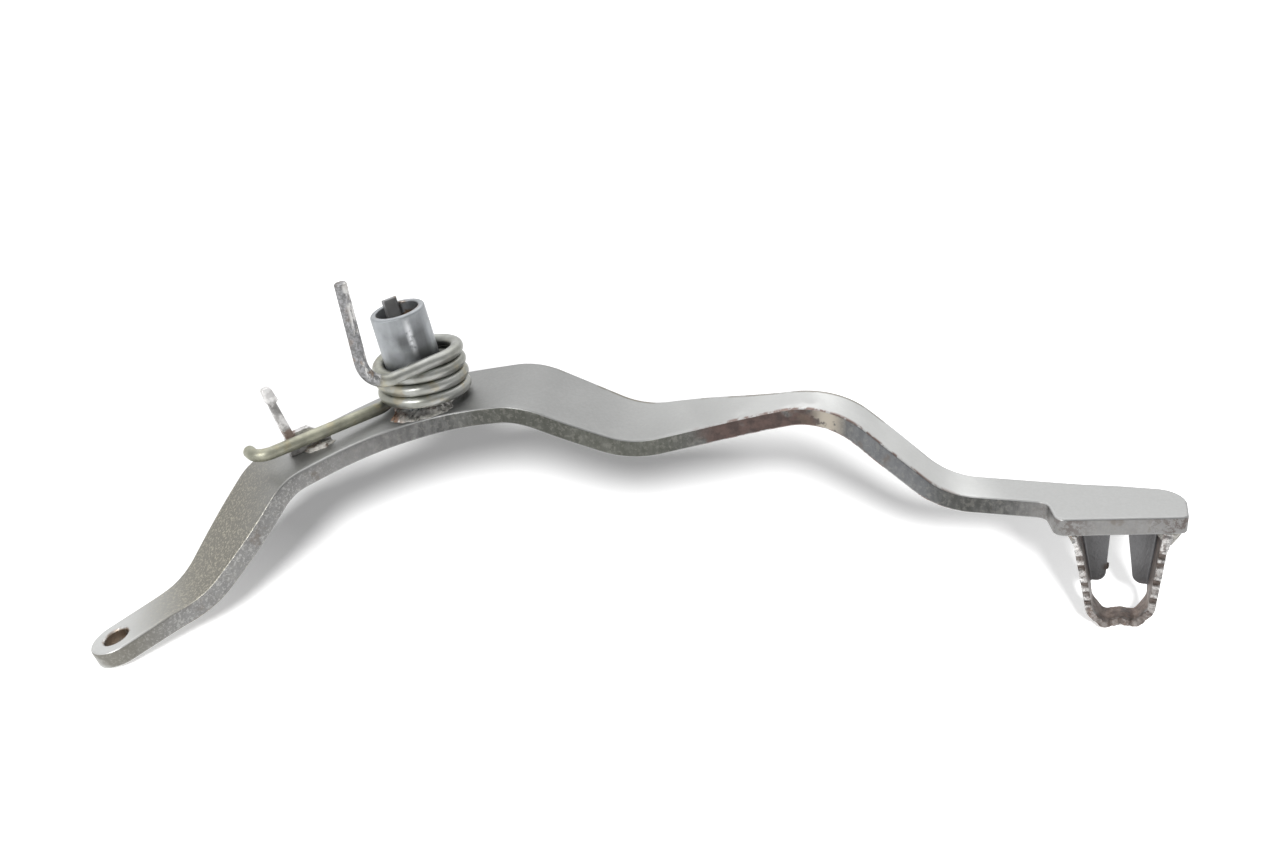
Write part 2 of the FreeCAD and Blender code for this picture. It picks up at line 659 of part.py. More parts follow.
def pad_weld(side, slant):
    """Bead in the outer corner between one leg of the pad and the foot plate."""
    square = ARM_FAR
    near = toe_point(PAD_CENTRE + side * PAD_TOP_HALF, 0, PLATE)
    reach = (toe_point(TOE_LENGTH, -PAD_NEAR_END) - near).dot(ARM_FAR)
    reach -= (TOE_LENGTH - PAD_CENTRE - side * PAD_TOP_HALF) * slant.dot(ARM_FAR) / slant.dot(TOE_ALONG)
    start = near + square * (reach + PAD_WELD_SETBACK)
    out = TOE_ALONG * side
    low_side = pad_leg_half(PAD_WELD_DROP) - PAD_TOP_HALF + side * PAD_LEAN * PAD_WELD_DROP
    low = start + TOE_DOWN * PAD_WELD_DROP + out * low_side
    tip = start + out * PAD_WELD_WIDTH
    crown = start + out * (PAD_WELD_WIDTH * 0.42) + TOE_DOWN * (PAD_WELD_DROP * 0.34)
    edges = [line(start, tip), Part.Arc(tip, crown, low).toShape(), line(low, start)]
    return Part.Face(Part.Wire(edges)).extrude(square * PAD_WELD_DEPTH)


def build():
    arm, slant, eye = pedal_arm()
    wire_bearing = hook_point(0.3, 0)
    return {
        "pedal_arm": arm,
        "pivot_tube": pivot_tube(),
        "pivot_bush": pivot_bush(),
        "return_spring": return_spring(wire_bearing, HOOK_OUT),
        "switch_hook": switch_hook(),
        "foot_pad": foot_pad(slant),
        "tube_weld": tube_weld(),
        "hook_weld": hook_weld(),
        "pad_weld_left": pad_weld(-1, slant),
        "pad_weld_right": pad_weld(1, slant),
    }, eye


def main():
    os.makedirs("parts", exist_ok=True)
    pieces, eye = build()
    low = 1e9
    for name, shape in pieces.items():
        shape.rotate(ORIGIN, V(0, 1, 0), -REST_LEAN)
        shape.exportStep(os.path.join("parts", name + ".step"))
        box = shape.BoundBox
        low = min(low, box.ZMin)
        print(name, shape.ShapeType, shape.isValid(), len(shape.Solids), round(shape.Volume, 1), box)
    turn = FreeCAD.Rotation(V(0, 1, 0), -REST_LEAN)
    print("pivot axis", turn.multVec(UP))
    print("rod eye", turn.multVec(eye), "axis", turn.multVec(LEVER_DOWN * -1))
    print("lowest", low)


main()
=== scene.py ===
import math

import bmesh
import bpy
import numpy as np
from bpy.props import FloatProperty, FloatVectorProperty, PointerProperty
from mathutils import Matrix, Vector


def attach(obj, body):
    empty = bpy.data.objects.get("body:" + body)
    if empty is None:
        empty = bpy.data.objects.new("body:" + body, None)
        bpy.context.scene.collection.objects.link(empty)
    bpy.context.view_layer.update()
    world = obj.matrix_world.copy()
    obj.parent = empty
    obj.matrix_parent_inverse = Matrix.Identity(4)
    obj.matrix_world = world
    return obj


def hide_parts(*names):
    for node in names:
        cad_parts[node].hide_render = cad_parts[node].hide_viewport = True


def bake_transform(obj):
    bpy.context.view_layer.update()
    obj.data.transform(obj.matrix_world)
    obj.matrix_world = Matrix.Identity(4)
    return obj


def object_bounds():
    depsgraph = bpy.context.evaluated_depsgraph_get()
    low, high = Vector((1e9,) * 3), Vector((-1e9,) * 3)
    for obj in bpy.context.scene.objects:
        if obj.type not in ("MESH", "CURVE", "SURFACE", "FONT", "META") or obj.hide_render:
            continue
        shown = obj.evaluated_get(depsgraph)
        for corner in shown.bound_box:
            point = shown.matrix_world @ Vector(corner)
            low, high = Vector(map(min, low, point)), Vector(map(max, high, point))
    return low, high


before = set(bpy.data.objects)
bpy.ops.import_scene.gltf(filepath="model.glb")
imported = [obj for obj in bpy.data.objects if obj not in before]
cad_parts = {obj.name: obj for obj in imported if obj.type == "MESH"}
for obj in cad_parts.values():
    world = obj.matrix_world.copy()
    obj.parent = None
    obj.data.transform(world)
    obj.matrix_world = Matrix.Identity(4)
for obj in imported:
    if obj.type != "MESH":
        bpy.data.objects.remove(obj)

CAD_BOX = [[float(c) for c in corner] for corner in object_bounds()]

bl_info = {
    "name": "Motorbike brake pedal",
    "version": (1, 0, 0),
    "blender": (4, 5, 0),
    "location": "View3D > Sidebar > Pedal",
    "description": "Builds a worn steel brake pedal with its return spring and foot pad",
    "category": "Add Mesh",
}

# The shapes are worked out in millimetres about the pivot: Z runs up the tube from its seat.
# to_row() then leans the pedal over as it lies on the bench and turns millimetres into metres.
MM = 0.001
LEAN = math.radians(13.6)
UP = np.array([0.0, 0.0, 1.0])

# Side view of the long arm: corners of its top face, radii of the bends and the run past the last corner
ARM_CORNERS = [(-60, 0), (35, 0), (66.5, -20.5), (130.2, -20.5), (159.4, -58.5)]
ARM_BENDS = [27, 27, 30, 26]
ARM_VIEW_RUN = 90
ARM_TURN = -21
NECK_RUN = 13.0
NECK_NEAR = 6.4
NECK_FAR = 8.2

# Side view of the short lever
LEVER_CORNERS = [(-60, 0), (56.3, 0), (90.8, -26.2)]
LEVER_BENDS = [21, 28]
LEVER_VIEW_RUN = 50
LEVER_TURN = 198
LEVER_SLOPE = math.radians(9.1)
LEVER_NECK_RUN = 12.0
LEVER_END_LENGTH = 16.2
LEVER_OFFSET = 2.5
ROD_END = 8.7
ROD_HOLE = 4.2

# Seat of the tube: its half widths, and where it ends along the lever and along the arm
BOSS_NEAR = 17.4
BOSS_FAR = 19.0
SEAT_ON_LEVER = 44
SEAT_ON_ARM = 40
# The drawn bar stands this far inside the solid bar, so that its box is never the larger one
WITHIN = 0.03
# Broken rim of a hole: how far its cutter flares at each depth, and how far it stands out of the bar
HOLE_FLARE = np.array([(0.9, -0.7), (0.55, -0.1), (0.22, 0.24), (0.05, 0.45), (0.0, 0.7)])
CUTTER_OVER = 0.7
SEAT_CUTTER_OVER = 0.6

# Foot plate: a swollen far edge, a notch in the near edge and the slant after it
TOE_SLOPE = math.radians(14.6)
TOE_LENGTH = 61.5
TOE_SWELL = 0.8
TOE_SWELL_START = 34
TOE_SWELL_END = 20
TOE_SWELL_BEND = 60
TOE_FAR_CORNER = 9
TOE_NEAR_CORNER = 2.6
PAD_NEAR_START = 17.6
PAD_NEAR_END = 9.4
PAD_NOTCH_AT = 16.5
PAD_NOTCH_LENGTH = 5.5
PAD_NOTCH_LEAD = 1.5
PAD_NOTCH_TRAIL = 1.2
PAD_NOTCH_LIP = 0.3
PAD_NOTCH_ROUND = 3.2

# Folded pad. Middle line of its sheet: half width and drop, from the top of a leg to the middle of the floor
PAD_LINE = [(14.05, 0.0), (9.65, 27.4), (5.3, 32.25), (0.0, 30.85)]
PAD_BENDS = [4.5, 3.2, 3.0]
PAD_FLOOR_FROM = 27.0
PAD_EDGE = 0.32
PAD_CENTRE = 41.2
PAD_LEAN = 0.085
PAD_FAR = 3.2
PAD_BRIDGE_DEPTH = 8.2
PAD_SCALLOP = 16.0
PAD_HOLLOW_AT = 1.0
PAD_HOLLOW_HALF = 14
PAD_SWELL = 0.9
PAD_SWELL_DROP = 7.0
FLANGE_DROP = 24.4
FLANGE_GAP_TOP = 2.2
FLANGE_GAP_LOW = 4.4
FLANGE_ROUND = 3.0
FOLD = 2.0
FOLD_LAP = 0.3
BURR_AT = (-3.9, 19.4)
BURR_SIZE = (0.75, 0.8, 1.3)
# Nicks in the near edge: place down a leg, depth on the left and right leg; then places along the floor
LEG_NICKS = [
    (8.0, 0.7, 1.0), (11.15, 1.0, 0.85), (14.3, 0.25, 0.3),
    (17.45, 1.0, 1.0), (20.6, 0.75, 0.5), (23.75, 0.7, 0.85),
]
FLOOR_NICKS = [-6.6, -3.2, 0.2, 3.3, 6.9]

# Tube and bush; the plain walls stop short of the rounded rim
TUBE_HEIGHT = 33.0
RIM_ROUND = 0.9
RIM_BEVEL = 0.5
WALL_STOP = 1.2
BORE_STOP = 1.0
BUSH_TOP = 28.0
BUSH_BORE = 5.0
BUSH_CLEARANCE = 0.05
BUSH_EDGE = 0.4
TONGUE_TOP = 35.4
TONGUE_ROOT = 1.5
TONGUE_WIDTH = 5.6
TONGUE_STEP = 0.4
TONGUE_SINK = 0.02
TONGUE_CORNER = 0.5
TONGUE_ANGLE = 103.0
# Painted shade on the tube, darker on its right side and in two patches: amount, then low end, high end and
# softness of the bearing in degrees and of the height
TUBE_SHADES = [
    (0.75, (-80, -40, 16), (-5, 29, 6)),
    (0.75, (-108, -84, 9), (22.5, 27, 2.5)),
    (0.5, (-150, -80, 20), (10, 21, 4)),
]
# Painted highlight: a bright stripe up the tube, by bearing and by height as above
TUBE_HIGHLIGHT = ((-85, -75, 8), (20, 31, 4))

# Return spring
COIL_FOOT = 2.2
COIL_TILT = math.radians(3.5)
COIL_SHIFT = np.array([1.45, -0.3, 0.0])
COIL_END_ANGLE = 160.0
COIL_START_ANGLE = -64.0
COIL_FULL_TURNS = 3
UPRIGHT_KNEE = 3.0
UPRIGHT_KNEE_BEND = 40.0
UPRIGHT_REACH = 23.6
UPRIGHT_LENGTH = 35.7
UPRIGHT_BEND = 9.5
LEG_EXIT = 4.6
LEG_BEND = 7.5
LEG_LENGTH = 47.2
LEG_TIP = 9.0
LEG_TIP_BEND = 4.6
WIRE_END_ROUND = 0.35
WIRE_END_RUN = 0.5

# Hook bracket, and where the spring's long leg passes it
HOOK_FOOT = np.array([-44.5, -11.35, 0.0])
HOOK_TURN = 16.6
HOOK_SHEET = 2.6
HOOK_CORNER = 0.34
HOOK_EDGE = 0.22
HOOK_WIRE_ALONG = 0.3
HOOK_WIRE_GAP = 1.7
HOOK_WIRE_HEIGHT = 5.4
HOOK_OUTLINE = [
    (-1.2, 0), (12.9, 0), (12.9, 2.4), (6.9, 7.3), (1.7, 7.3), (0.5, 14.3), (-0.3, 19.0), (0.6, 19.7),
    (-0.4, 24.0), (-1.2, 24.6), (-3.1, 24.4), (-3.5, 23.6), (-3.2, 19.6), (-2.6, 18.8), (-2.2, 14.3),
    (-1.2, 7.3),
]

# Weld beads. The tube's bead is heavy between two bearings: there it reaches further and its crown is lower.
WELD_HEAVY = (math.radians(-158), math.radians(-52))
WELD_FADE = 0.06
WELD_REACH = 1.5
WELD_REACH_MORE = 4.5
WELD_CROWN = 2.0
WELD_CROWN_LESS = 0.35
# Small beads: place along and out from the hook, half sizes; side, seed and half sizes at the pad's legs
HOOK_BEAD_AT = (8.2, 0.8)
HOOK_BEAD_SIZE = (4.7, 2.7, 1.45)
PAD_BEAD_AT = 14.6
PAD_BEADS = (("left", -1, 1.9, (2.0, 3.0, 3.4)), ("right", 1, 4.2, (4.6, 3.6, 5.6)))

# Camera: focal length and width of the picture in pixels, its place, and its right, up and back directions
FOCAL, PICTURE_WIDTH, SENSOR = 2200, 1280, 36.0
CAMERA_PLACE = (-0.05907, -0.6716, 0.24416)
CAMERA_AXES = np.array(
    [(0.98057, -0.1956, -0.01649), (0.08442, 0.3445, 0.93497), (-0.17727, -0.9182, 0.35425)]
)
BENCH_HALF = 4.0
GLOW_CENTRE = (0.035, 0.11)
WHITE = (1.0, 1.0, 1.0, 1.0)


def unit(angle):
    """Plan direction at an angle in degrees from X."""
    return np.array([math.cos(math.radians(angle)), math.sin(math.radians(angle))])


def direction(vector):
    """A vector scaled to unit length."""
    return vector / np.linalg.norm(vector)


ARM_DIR, ARM_FAR = unit(ARM_TURN), unit(ARM_TURN + 90)
LEVER_DIR, LEVER_FAR = unit(LEVER_TURN), unit(LEVER_TURN - 90)


def to_row(points):
    """Turn points about the pivot by the bench lean round Y and scale them to metres."""
    p = np.asarray(points, float)
    c, s = math.cos(LEAN), math.sin(LEAN)
    return np.stack([c * p[..., 0] - s * p[..., 2], p[..., 1], s * p[..., 0] + c * p[..., 2]], -1) * MM


def from_row(points):
    """Points in metres turned back to millimetres about the pivot."""
    p = points / MM
    c, s = math.cos(LEAN), math.sin(LEAN)
    return np.stack([c * p[:, 0] + s * p[:, 2], p[:, 1], -s * p[:, 0] + c * p[:, 2]], -1)


# Curves


def rounded_path(corners, radii, step=0.25):
    """Straight runs through the corners with a tangent arc at each: centre plus radius times cos and sin."""
    corners = [np.asarray(c, float) for c in corners]
    parts = [corners[0][None]]
    for before, corner, after, radius in zip(corners, corners[1:], corners[2:], radii):
        back, ahead = direction(before - corner), direction(after - corner)
        half = math.acos(np.clip(back @ ahead, -1, 1)) / 2
        enter = corner + back * radius / math.tan(half)
        centre = corner + direction(back + ahead) * radius / math.sin(half)
        spoke = (enter - centre) / radius
        sweep = math.pi - 2 * half
        angle = np.linspace(0, sweep, max(4, int(radius * sweep / step)))[:, None]
        parts.append(centre + radius * (spoke * np.cos(angle) - back * np.sin(angle)))
    parts.append(corners[-1][None])
    return np.concatenate(parts)


def closed_outline(corners, radius):
    """A closed outline through the corners, each rounded by the same small radius."""
    c = [np.asarray(p, float) for p in corners]
    middle = (c[0] + c[-1]) / 2
    return rounded_path([middle] + c + [middle], [radius] * len(c), 0.12)[:-1]


def quarter(x, y, radius, quadrant, steps):
    """A quarter circle in a profile: centre plus radius times cos and sin, in one of four quadrants."""
    turn = np.linspace(0, math.pi / 2, steps)
    c, s = np.cos(turn), np.sin(turn)
    run, rise = ((c, s), (-s, c), (-c, -s), (s, -c))[quadrant]
    return np.stack([x + radius * run, y + radius * rise], 1)


def even(points, count):
    """The same line with points at equal distances along it."""
    reach = travelled(points)
    at = np.linspace(0, reach[-1], count)
    return np.stack([np.interp(at, reach, points[:, k]) for k in range(points.shape[1])], 1)


def travelled(points):
    """Distance along a line at each of its points."""
    return np.concatenate([[0], np.cumsum(np.linalg.norm(np.diff(points, axis=0), axis=1))])


def spline(points, first, last, count):
    """Cubic through the points by chord length, with equal curvature either side of each and set ends."""
    p = np.asarray(points, float)
    h = np.linalg.norm(np.diff(p, axis=0), axis=1)
    n = len(p)
    a = np.zeros((n, n))
    b = np.zeros_like(p)
    a[0, 0] = a[-1, -1] = 1
    b[0], b[-1] = first, last
    k = np.arange(1, n - 1)
    a[k, k - 1] = h[1:]
    a[k, k] = 2 * (h[:-1] + h[1:])
    a[k, k + 1] = h[:-1]
    slope = np.diff(p, axis=0) / h[:, None]
    b[1:-1] = 3 * (h[1:, None] * slope[:-1] + h[:-1, None] * slope[1:])
    m = np.linalg.solve(a, b)
    at = np.concatenate([[0], np.cumsum(h)])
    t = np.linspace(0, at[-1], count)
    i = np.clip(np.searchsorted(at, t, side="right") - 1, 0, n - 2)
    w = ((t - at[i]) / h[i])[:, None]
    d = h[i][:, None]
    return (
        (1 + 2 * w) * (1 - w) ** 2 * p[i]
        + w * (1 - w) ** 2 * d * m[i]
        + w**2 * (3 - 2 * w) * p[i + 1]
        + w**2 * (w - 1) * d * m[i + 1]
    )


def beyond(corners, slope, run):
    """Distance and height on the straight end of a side view, a run past its last corner."""
    s, z = corners[-1]
    return s + run * math.cos(slope), z - run * math.sin(slope)


def side_view(corners, radii, slope, run, step=0.1):
    """Even distances from the pivot, with the height and the slope of a bent bar's top face there."""
    line = rounded_path([*corners, beyond(corners, slope, run)], radii, step)
    s = np.arange(line[0, 0], line[-1, 0], step)
    z = np.interp(s, line[:, 0], line[:, 1])
    return s, z, np.gradient(z, s)


ARM_VIEW = side_view(ARM_CORNERS, ARM_BENDS, TOE_SLOPE, ARM_VIEW_RUN)
LEVER_VIEW = side_view(LEVER_CORNERS, LEVER_BENDS, LEVER_SLOPE, LEVER_VIEW_RUN)
NECK_S, NECK_Z = beyond(ARM_CORNERS, TOE_SLOPE, NECK_RUN)
LEVER_NECK_S = beyond(LEVER_CORNERS, LEVER_SLOPE, LEVER_NECK_RUN)[0]
EYE_S, EYE_Z = beyond(LEVER_CORNERS, LEVER_SLOPE, LEVER_NECK_RUN + LEVER_END_LENGTH)

TOE_ALONG = np.append(ARM_DIR * math.cos(TOE_SLOPE), -math.sin(TOE_SLOPE))
TOE_FAR = np.append(ARM_FAR, 0.0)
TOE_DOWN = np.cross(TOE_FAR, TOE_ALONG)
TOE_ORIGIN = np.append(ARM_DIR * NECK_S, NECK_Z)
LEVER_ALONG = np.append(LEVER_DIR * math.cos(LEVER_SLOPE), -math.sin(LEVER_SLOPE))
LEVER_UP = np.cross(np.append(LEVER_FAR, 0.0), LEVER_ALONG)
HOOK_DIR = np.append(unit(HOOK_TURN), 0.0)
HOOK_OUT = np.append(unit(HOOK_TURN - 90), 0.0)
TOE_AXES = (TOE_ALONG, TOE_FAR, TOE_DOWN)
HOOK_AXES = (HOOK_DIR, HOOK_OUT, UP)


def arm_xy(points):
    """Plan points of the long arm from distance along it and offset to its far side."""
    p = np.asarray(points, float)
    return p[..., :1] * ARM_DIR + p[..., 1:2] * ARM_FAR


def lever_xy(points):
    """Plan points of the short lever, measured from its own middle line."""
    p = np.asarray(points, float)
    return p[..., :1] * LEVER_DIR + (p[..., 1:2] + LEVER_OFFSET) * LEVER_FAR


def bent(xy, depth):
    """Lay a plan point on the bent bar: the height of its arm there, then down square to the face."""
    right = xy[..., 0] >= 0
    s = np.where(right, xy @ ARM_DIR, xy @ LEVER_DIR)
    z, slope = (
        np.where(right, np.interp(s, ARM_VIEW[0], ARM_VIEW[k]), np.interp(s, LEVER_VIEW[0], LEVER_VIEW[k]))
        for k in (1, 2)
    )
    size = np.sqrt(1 + slope**2)
    run = np.where(right[..., None], ARM_DIR, LEVER_DIR)
    moved = xy + run * (depth * slope / size)[..., None]
    return np.concatenate([moved, (z - depth / size)[..., None]], -1)


def pad_point(wide, drop, far, plate):
    """Point on the foot pad: across its middle, below the plate's underside, to the far side."""
    wide, drop, far = np.broadcast_arrays(*(np.asarray(v, float)[..., None] for v in (wide, drop, far)))
    along = PAD_CENTRE + wide + PAD_LEAN * drop
    return TOE_ORIGIN + TOE_ALONG * along + TOE_FAR * far + TOE_DOWN * (plate + drop)


def pad_near(along):
    """Offset of the foot plate's slanted near edge at a distance along the plate."""
    start = PAD_NOTCH_AT + PAD_NOTCH_LENGTH
    return -PAD_NEAR_END - (PAD_NEAR_START - PAD_NEAR_END) * (TOE_LENGTH - along) / (TOE_LENGTH - start)


def pad_leg(drop):
    """Half width of the pad's middle line at a drop down its straight leg."""
    (top, _), (low, reach) = PAD_LINE[:2]
    return top + (low - top) * drop / reach


def fade(value, run):
    """A rise from 0 to 1 as the value goes from nothing to the run, level before and after."""
    return np.clip(value / run, 0, 1)


def band(value, low, high, soft):
    """One between low and high, falling evenly to nothing across each of them."""
    return np.clip((value - low) / soft + 0.5, 0, 1) * np.clip((high - value) / soft + 0.5, 0, 1)


def ripple(*waves):
    """A still, uneven surface: a sum of sine waves, each given as size and phase."""
    return sum(size * np.sin(phase) for size, phase in waves)


# Meshes


def quads(rows, cols, wrap_rows=False, wrap_cols=False):
    """Faces of a grid of points, joined round where it closes."""
    r = np.arange(rows if wrap_rows else rows - 1)[:, None]
    c = np.arange(cols if wrap_cols else cols - 1)[None, :]
    r2, c2 = (r + 1) % rows, (c + 1) % cols
    corners = np.broadcast_arrays(r * cols + c, r * cols + c2, r2 * cols + c2, r2 * cols + c)
    return np.stack(corners, -1).reshape(-1, 4)


def capped(rows, cols):
    """Faces of a row of closed rings, with a flat face over each end."""
    ends = [list(range(cols)), list(range((rows - 1) * cols, rows * cols))]
    return quads(rows, cols, wrap_cols=True).tolist() + ends


def piece(name, patches, sharp=40.0):
    """One mesh from patches of points (millimetres about the pivot) and faces, merged and facing outwards."""
    verts, faces, start = [], [], 0
    for points, polys in patches:
        points = np.asarray(points, float).reshape(-1, 3)
        verts.append(points)
        polys = polys.tolist() if isinstance(polys, np.ndarray) else polys
        faces += [[v + start for v in poly] for poly in polys]
        start += len(points)
    mesh = bpy.data.meshes.new(name)
    mesh.from_pydata(to_row(np.concatenate(verts)).tolist(), [], faces)
    work = bmesh.new()
    work.from_mesh(mesh)
    bmesh.ops.remove_doubles(work, verts=work.verts, dist=2e-6)
    bmesh.ops.dissolve_degenerate(work, edges=work.edges, dist=1e-7)
    bmesh.ops.recalc_face_normals(work, faces=work.faces)
    work.to_mesh(mesh)
    work.free()
    obj = bpy.data.objects.new(name, mesh)
    bpy.context.scene.collection.objects.link(obj)
    smooth(obj, sharp)
    return obj


def smooth(obj, sharp):
    """Smooth shading, broken at edges sharper than the angle."""
    obj.data.polygons.foreach_set("use_smooth", np.ones(len(obj.data.polygons), bool))
    obj.data.set_sharp_from_angle(angle=math.radians(sharp))


def inward(loop):
    """Unit normals of a closed plan outline, pointing into it."""
    run = np.roll(loop, -1, 0) - np.roll(loop, 1, 0)
    x, y = loop[:, 0], loop[:, 1]
    turn = 1 if np.sum(x * np.roll(y, -1) - y * np.roll(x, -1)) > 0 else -1
    normal = np.stack([-run[:, 1], run[:, 0]], 1) * turn
    return normal / np.maximum(np.linalg.norm(normal, axis=1), 1e-9)[:, None]


def edge_rings(thick, edge, steps=5, sides=3):
    """Inset and depth of the rings of a plate's edge: a quarter round, the flat side, a quarter round."""
    turn = np.linspace(0, math.pi / 2, steps)
    inset = edge * (1 - np.sin(turn))
    depth = edge * (1 - np.cos(turn))
    flat = np.linspace(edge, thick - edge, sides + 1)[1:-1]
    return (
        np.concatenate([inset, np.zeros(len(flat)), inset[::-1]]),
        np.concatenate([depth, flat, thick - depth[::-1]]),
    )


def slab(outline, thick, edge, place, cap=True):
    """Rings of a plate with rounded edges round a closed outline, placed by place(xy, depth)."""
    inset, depth = edge_rings(thick, edge)
    rings = outline[None] + inward(outline)[None] * inset[:, None, None]
    rows, cols = rings.shape[:2]
    points = place(rings, np.broadcast_to(depth[:, None], (rows, cols)))
    return rings, (points, capped(rows, cols) if cap else quads(rows, cols, wrap_cols=True))


def revolved(profile, origin, axis, count, wrap=False):
    """Points (radius, height) turned round an axis: the profile times cos and sin of the turn."""
    profile = np.asarray(profile, float)
    axis = direction(axis)
    side = direction(np.cross(axis, [0.3, 0.9, 0.31]))
    other = np.cross(axis, side)
    turn = np.linspace(0, 2 * math.pi, count, endpoint=False)[:, None, None]
    spoke = side * np.cos(turn) + other * np.sin(turn)
    points = np.asarray(origin, float) + spoke * profile[None, :, :1] + axis * profile[None, :, 1:]
    return points, quads(count, len(profile), True, wrap)


def swept(path, radius, count):
    """A round wire: a circle square to the path at each of its points, with flat ends."""
    run = np.gradient(path, axis=0)
    run /= np.linalg.norm(run, axis=1)[:, None]
    side = np.cross(run, [0.23, 0.68, 0.7])
    side /= np.linalg.norm(side, axis=1)[:, None]
    other = np.cross(run, side)
    turn = np.linspace(0, 2 * math.pi, count, endpoint=False)[None, :, None]
    ring = side[:, None] * np.cos(turn) + other[:, None] * np.sin(turn)
    return path[:, None] + ring * radius[:, None, None], capped(len(path), count)


def bead(centre, axes, size, seed, rough=1.0):
    """A lumpy bead: an ellipsoid of half sizes along its axes, whose radius ripples with both its angles."""
    rows, cols = 40, 64
    u = np.linspace(0, math.pi, rows)[:, None]
    v = np.linspace(0, 2 * math.pi, cols, endpoint=False)[None, :]
    ring = np.sin(u)
    lumps = 1 + rough * ripple(
        (0.07, np.cos(u) * 7 + seed),
        (0.06, np.cos(u) * 11 + np.cos(v) * ring * 4 + seed * 2),
        (0.05, np.sin(v) * ring * 9 + seed * 3),
        (0.03, np.cos(u) * 23 + np.sin(v) * ring * 17 + seed * 5),
    )
    x, y, z = (axis * half for axis, half in zip(axes, size))
    points = (
        np.asarray(centre)
        + x * (np.cos(u) * np.ones_like(v) * lumps)[..., None]
        + y * (ring * np.cos(v) * lumps)[..., None]
        + z * (ring * np.sin(v) * lumps)[..., None]
    )
    return points.reshape(-1, 3), quads(rows, cols, wrap_cols=True)


def drill(obj, *cutters):
    """Cut holes with turned cutters whose ends flare, so that the rims come out broken."""
    for cutter in cutters:
        cut = obj.modifiers.new("hole", "BOOLEAN")
        cut.operation = "DIFFERENCE"
        cut.solver = "EXACT"
        cut.object = cutter
    view = bpy.context.evaluated_depsgraph_get()
    mesh = bpy.data.meshes.new_from_object(obj.evaluated_get(view))
    obj.modifiers.clear()
    old, obj.data = obj.data, mesh
    bpy.data.meshes.remove(old)
    for cutter in cutters:
        bpy.data.objects.remove(cutter)


def paint(obj, **values):
    """Store one number for each point of a mesh under a name that its material reads."""
    for name, numbers in values.items():
        layer = obj.data.attributes.new(name, "FLOAT", "POINT")
        layer.data.foreach_set("value", np.asarray(numbers, np.float32))


def points_of(obj):
    """Points of a finished mesh, in millimetres about the pivot."""
    points = np.empty(len(obj.data.vertices) * 3, np.float32)
    obj.data.vertices.foreach_get("co", points)
    return from_row(points.reshape(-1, 3).astype(float))


def dress(obj, material, body, slot, *nodes):
    """Give a piece its finish and its body, and hide the solids of model.glb that it stands for."""
    obj.data.materials.clear()
    obj.data.materials.append(material)
    if body:
        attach(obj, body)
    if nodes:
        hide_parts(*nodes)


# Materials. Places on the pedal are in metres, along X unless another axis is named.

# Tints of wear on the bar
LEVER_DULL, LEVER_DUST, LEVER_EDGE = (0.18, 0.165, 0.125), (0.56, 0.525, 0.425), (0.19, 0.178, 0.135)
FAR_STAIN, NEAR_STAIN = (0.13, 0.105, 0.065), (0.17, 0.09, 0.068)
EDGE_OLIVE, EDGE_BLUE = (0.108, 0.112, 0.086), (0.22, 0.23, 0.245)
EDGE_SOOT, EDGE_PALE = (0.055, 0.056, 0.05), (0.38, 0.375, 0.37)
EDGE_SPECK, EDGE_DUST, EDGE_FLAKE = (0.34, 0.33, 0.3), (0.6, 0.6, 0.58), (0.42, 0.38, 0.32)
EDGE_SPOT, CORNER_DIRT = (0.15, 0.11, 0.08), (0.12, 0.095, 0.085)
HOLE_RUST, BACK_RUST = (0.2, 0.135, 0.085), (0.15, 0.115, 0.08)
# On the tube, the bush and the spring
# The tube's painted shade and painted highlight tints, and rust in its bore
TUBE_SHADE_TINT, TUBE_HIGHLIGHT_TINT, BORE_RUST = (0.11, 0.112, 0.115), (0.72, 0.73, 0.75), (0.24, 0.165, 0.11)
BUSH_DARK, BUSH_RUST = (0.3, 0.302, 0.306), (0.27, 0.17, 0.1)
ZINC_YELLOW, WIRE_RUST = (0.42, 0.36, 0.22), (0.23, 0.155, 0.1)
# The standing leg: pits, grey, and bright flakes that also stand in for a painted highlight on its lit side
LEG_PIT, LEG_GREY, LEG_FLAKE_AND_HIGHLIGHT = (0.19, 0.19, 0.19), (0.36, 0.36, 0.37), (0.66, 0.655, 0.64)
# On the pad, the hook and the welds
PAD_BROWN, PAD_RUST = (0.13, 0.085, 0.065), (0.31, 0.23, 0.185)
# Bare edge metal, and the nicks' dark tint: painted shade in them, with grime
PAD_BARE, PAD_NICK_SHADE = (0.68, 0.665, 0.65), (0.1, 0.075, 0.062)
HOOK_DULL, HOOK_BARE = (0.42, 0.41, 0.4), (0.68, 0.67, 0.66)
HEAD_DULL, HEAD_BARE = (0.62, 0.61, 0.6), (0.82, 0.81, 0.8)
HOOK_STAIN, HOOK_RUST = (0.17, 0.165, 0.16), (0.24, 0.15, 0.12)
WELD_RUST = (0.27, 0.17, 0.12)
# Noise drawn out upwards: drips, and longer scores
DRIPS, SCORES = (1.0, 1.0, 0.4), (1.0, 1.0, 0.08)


def shade(colour, factor):
    """A colour made darker or lighter by a factor."""
    return tuple(c * factor for c in colour)


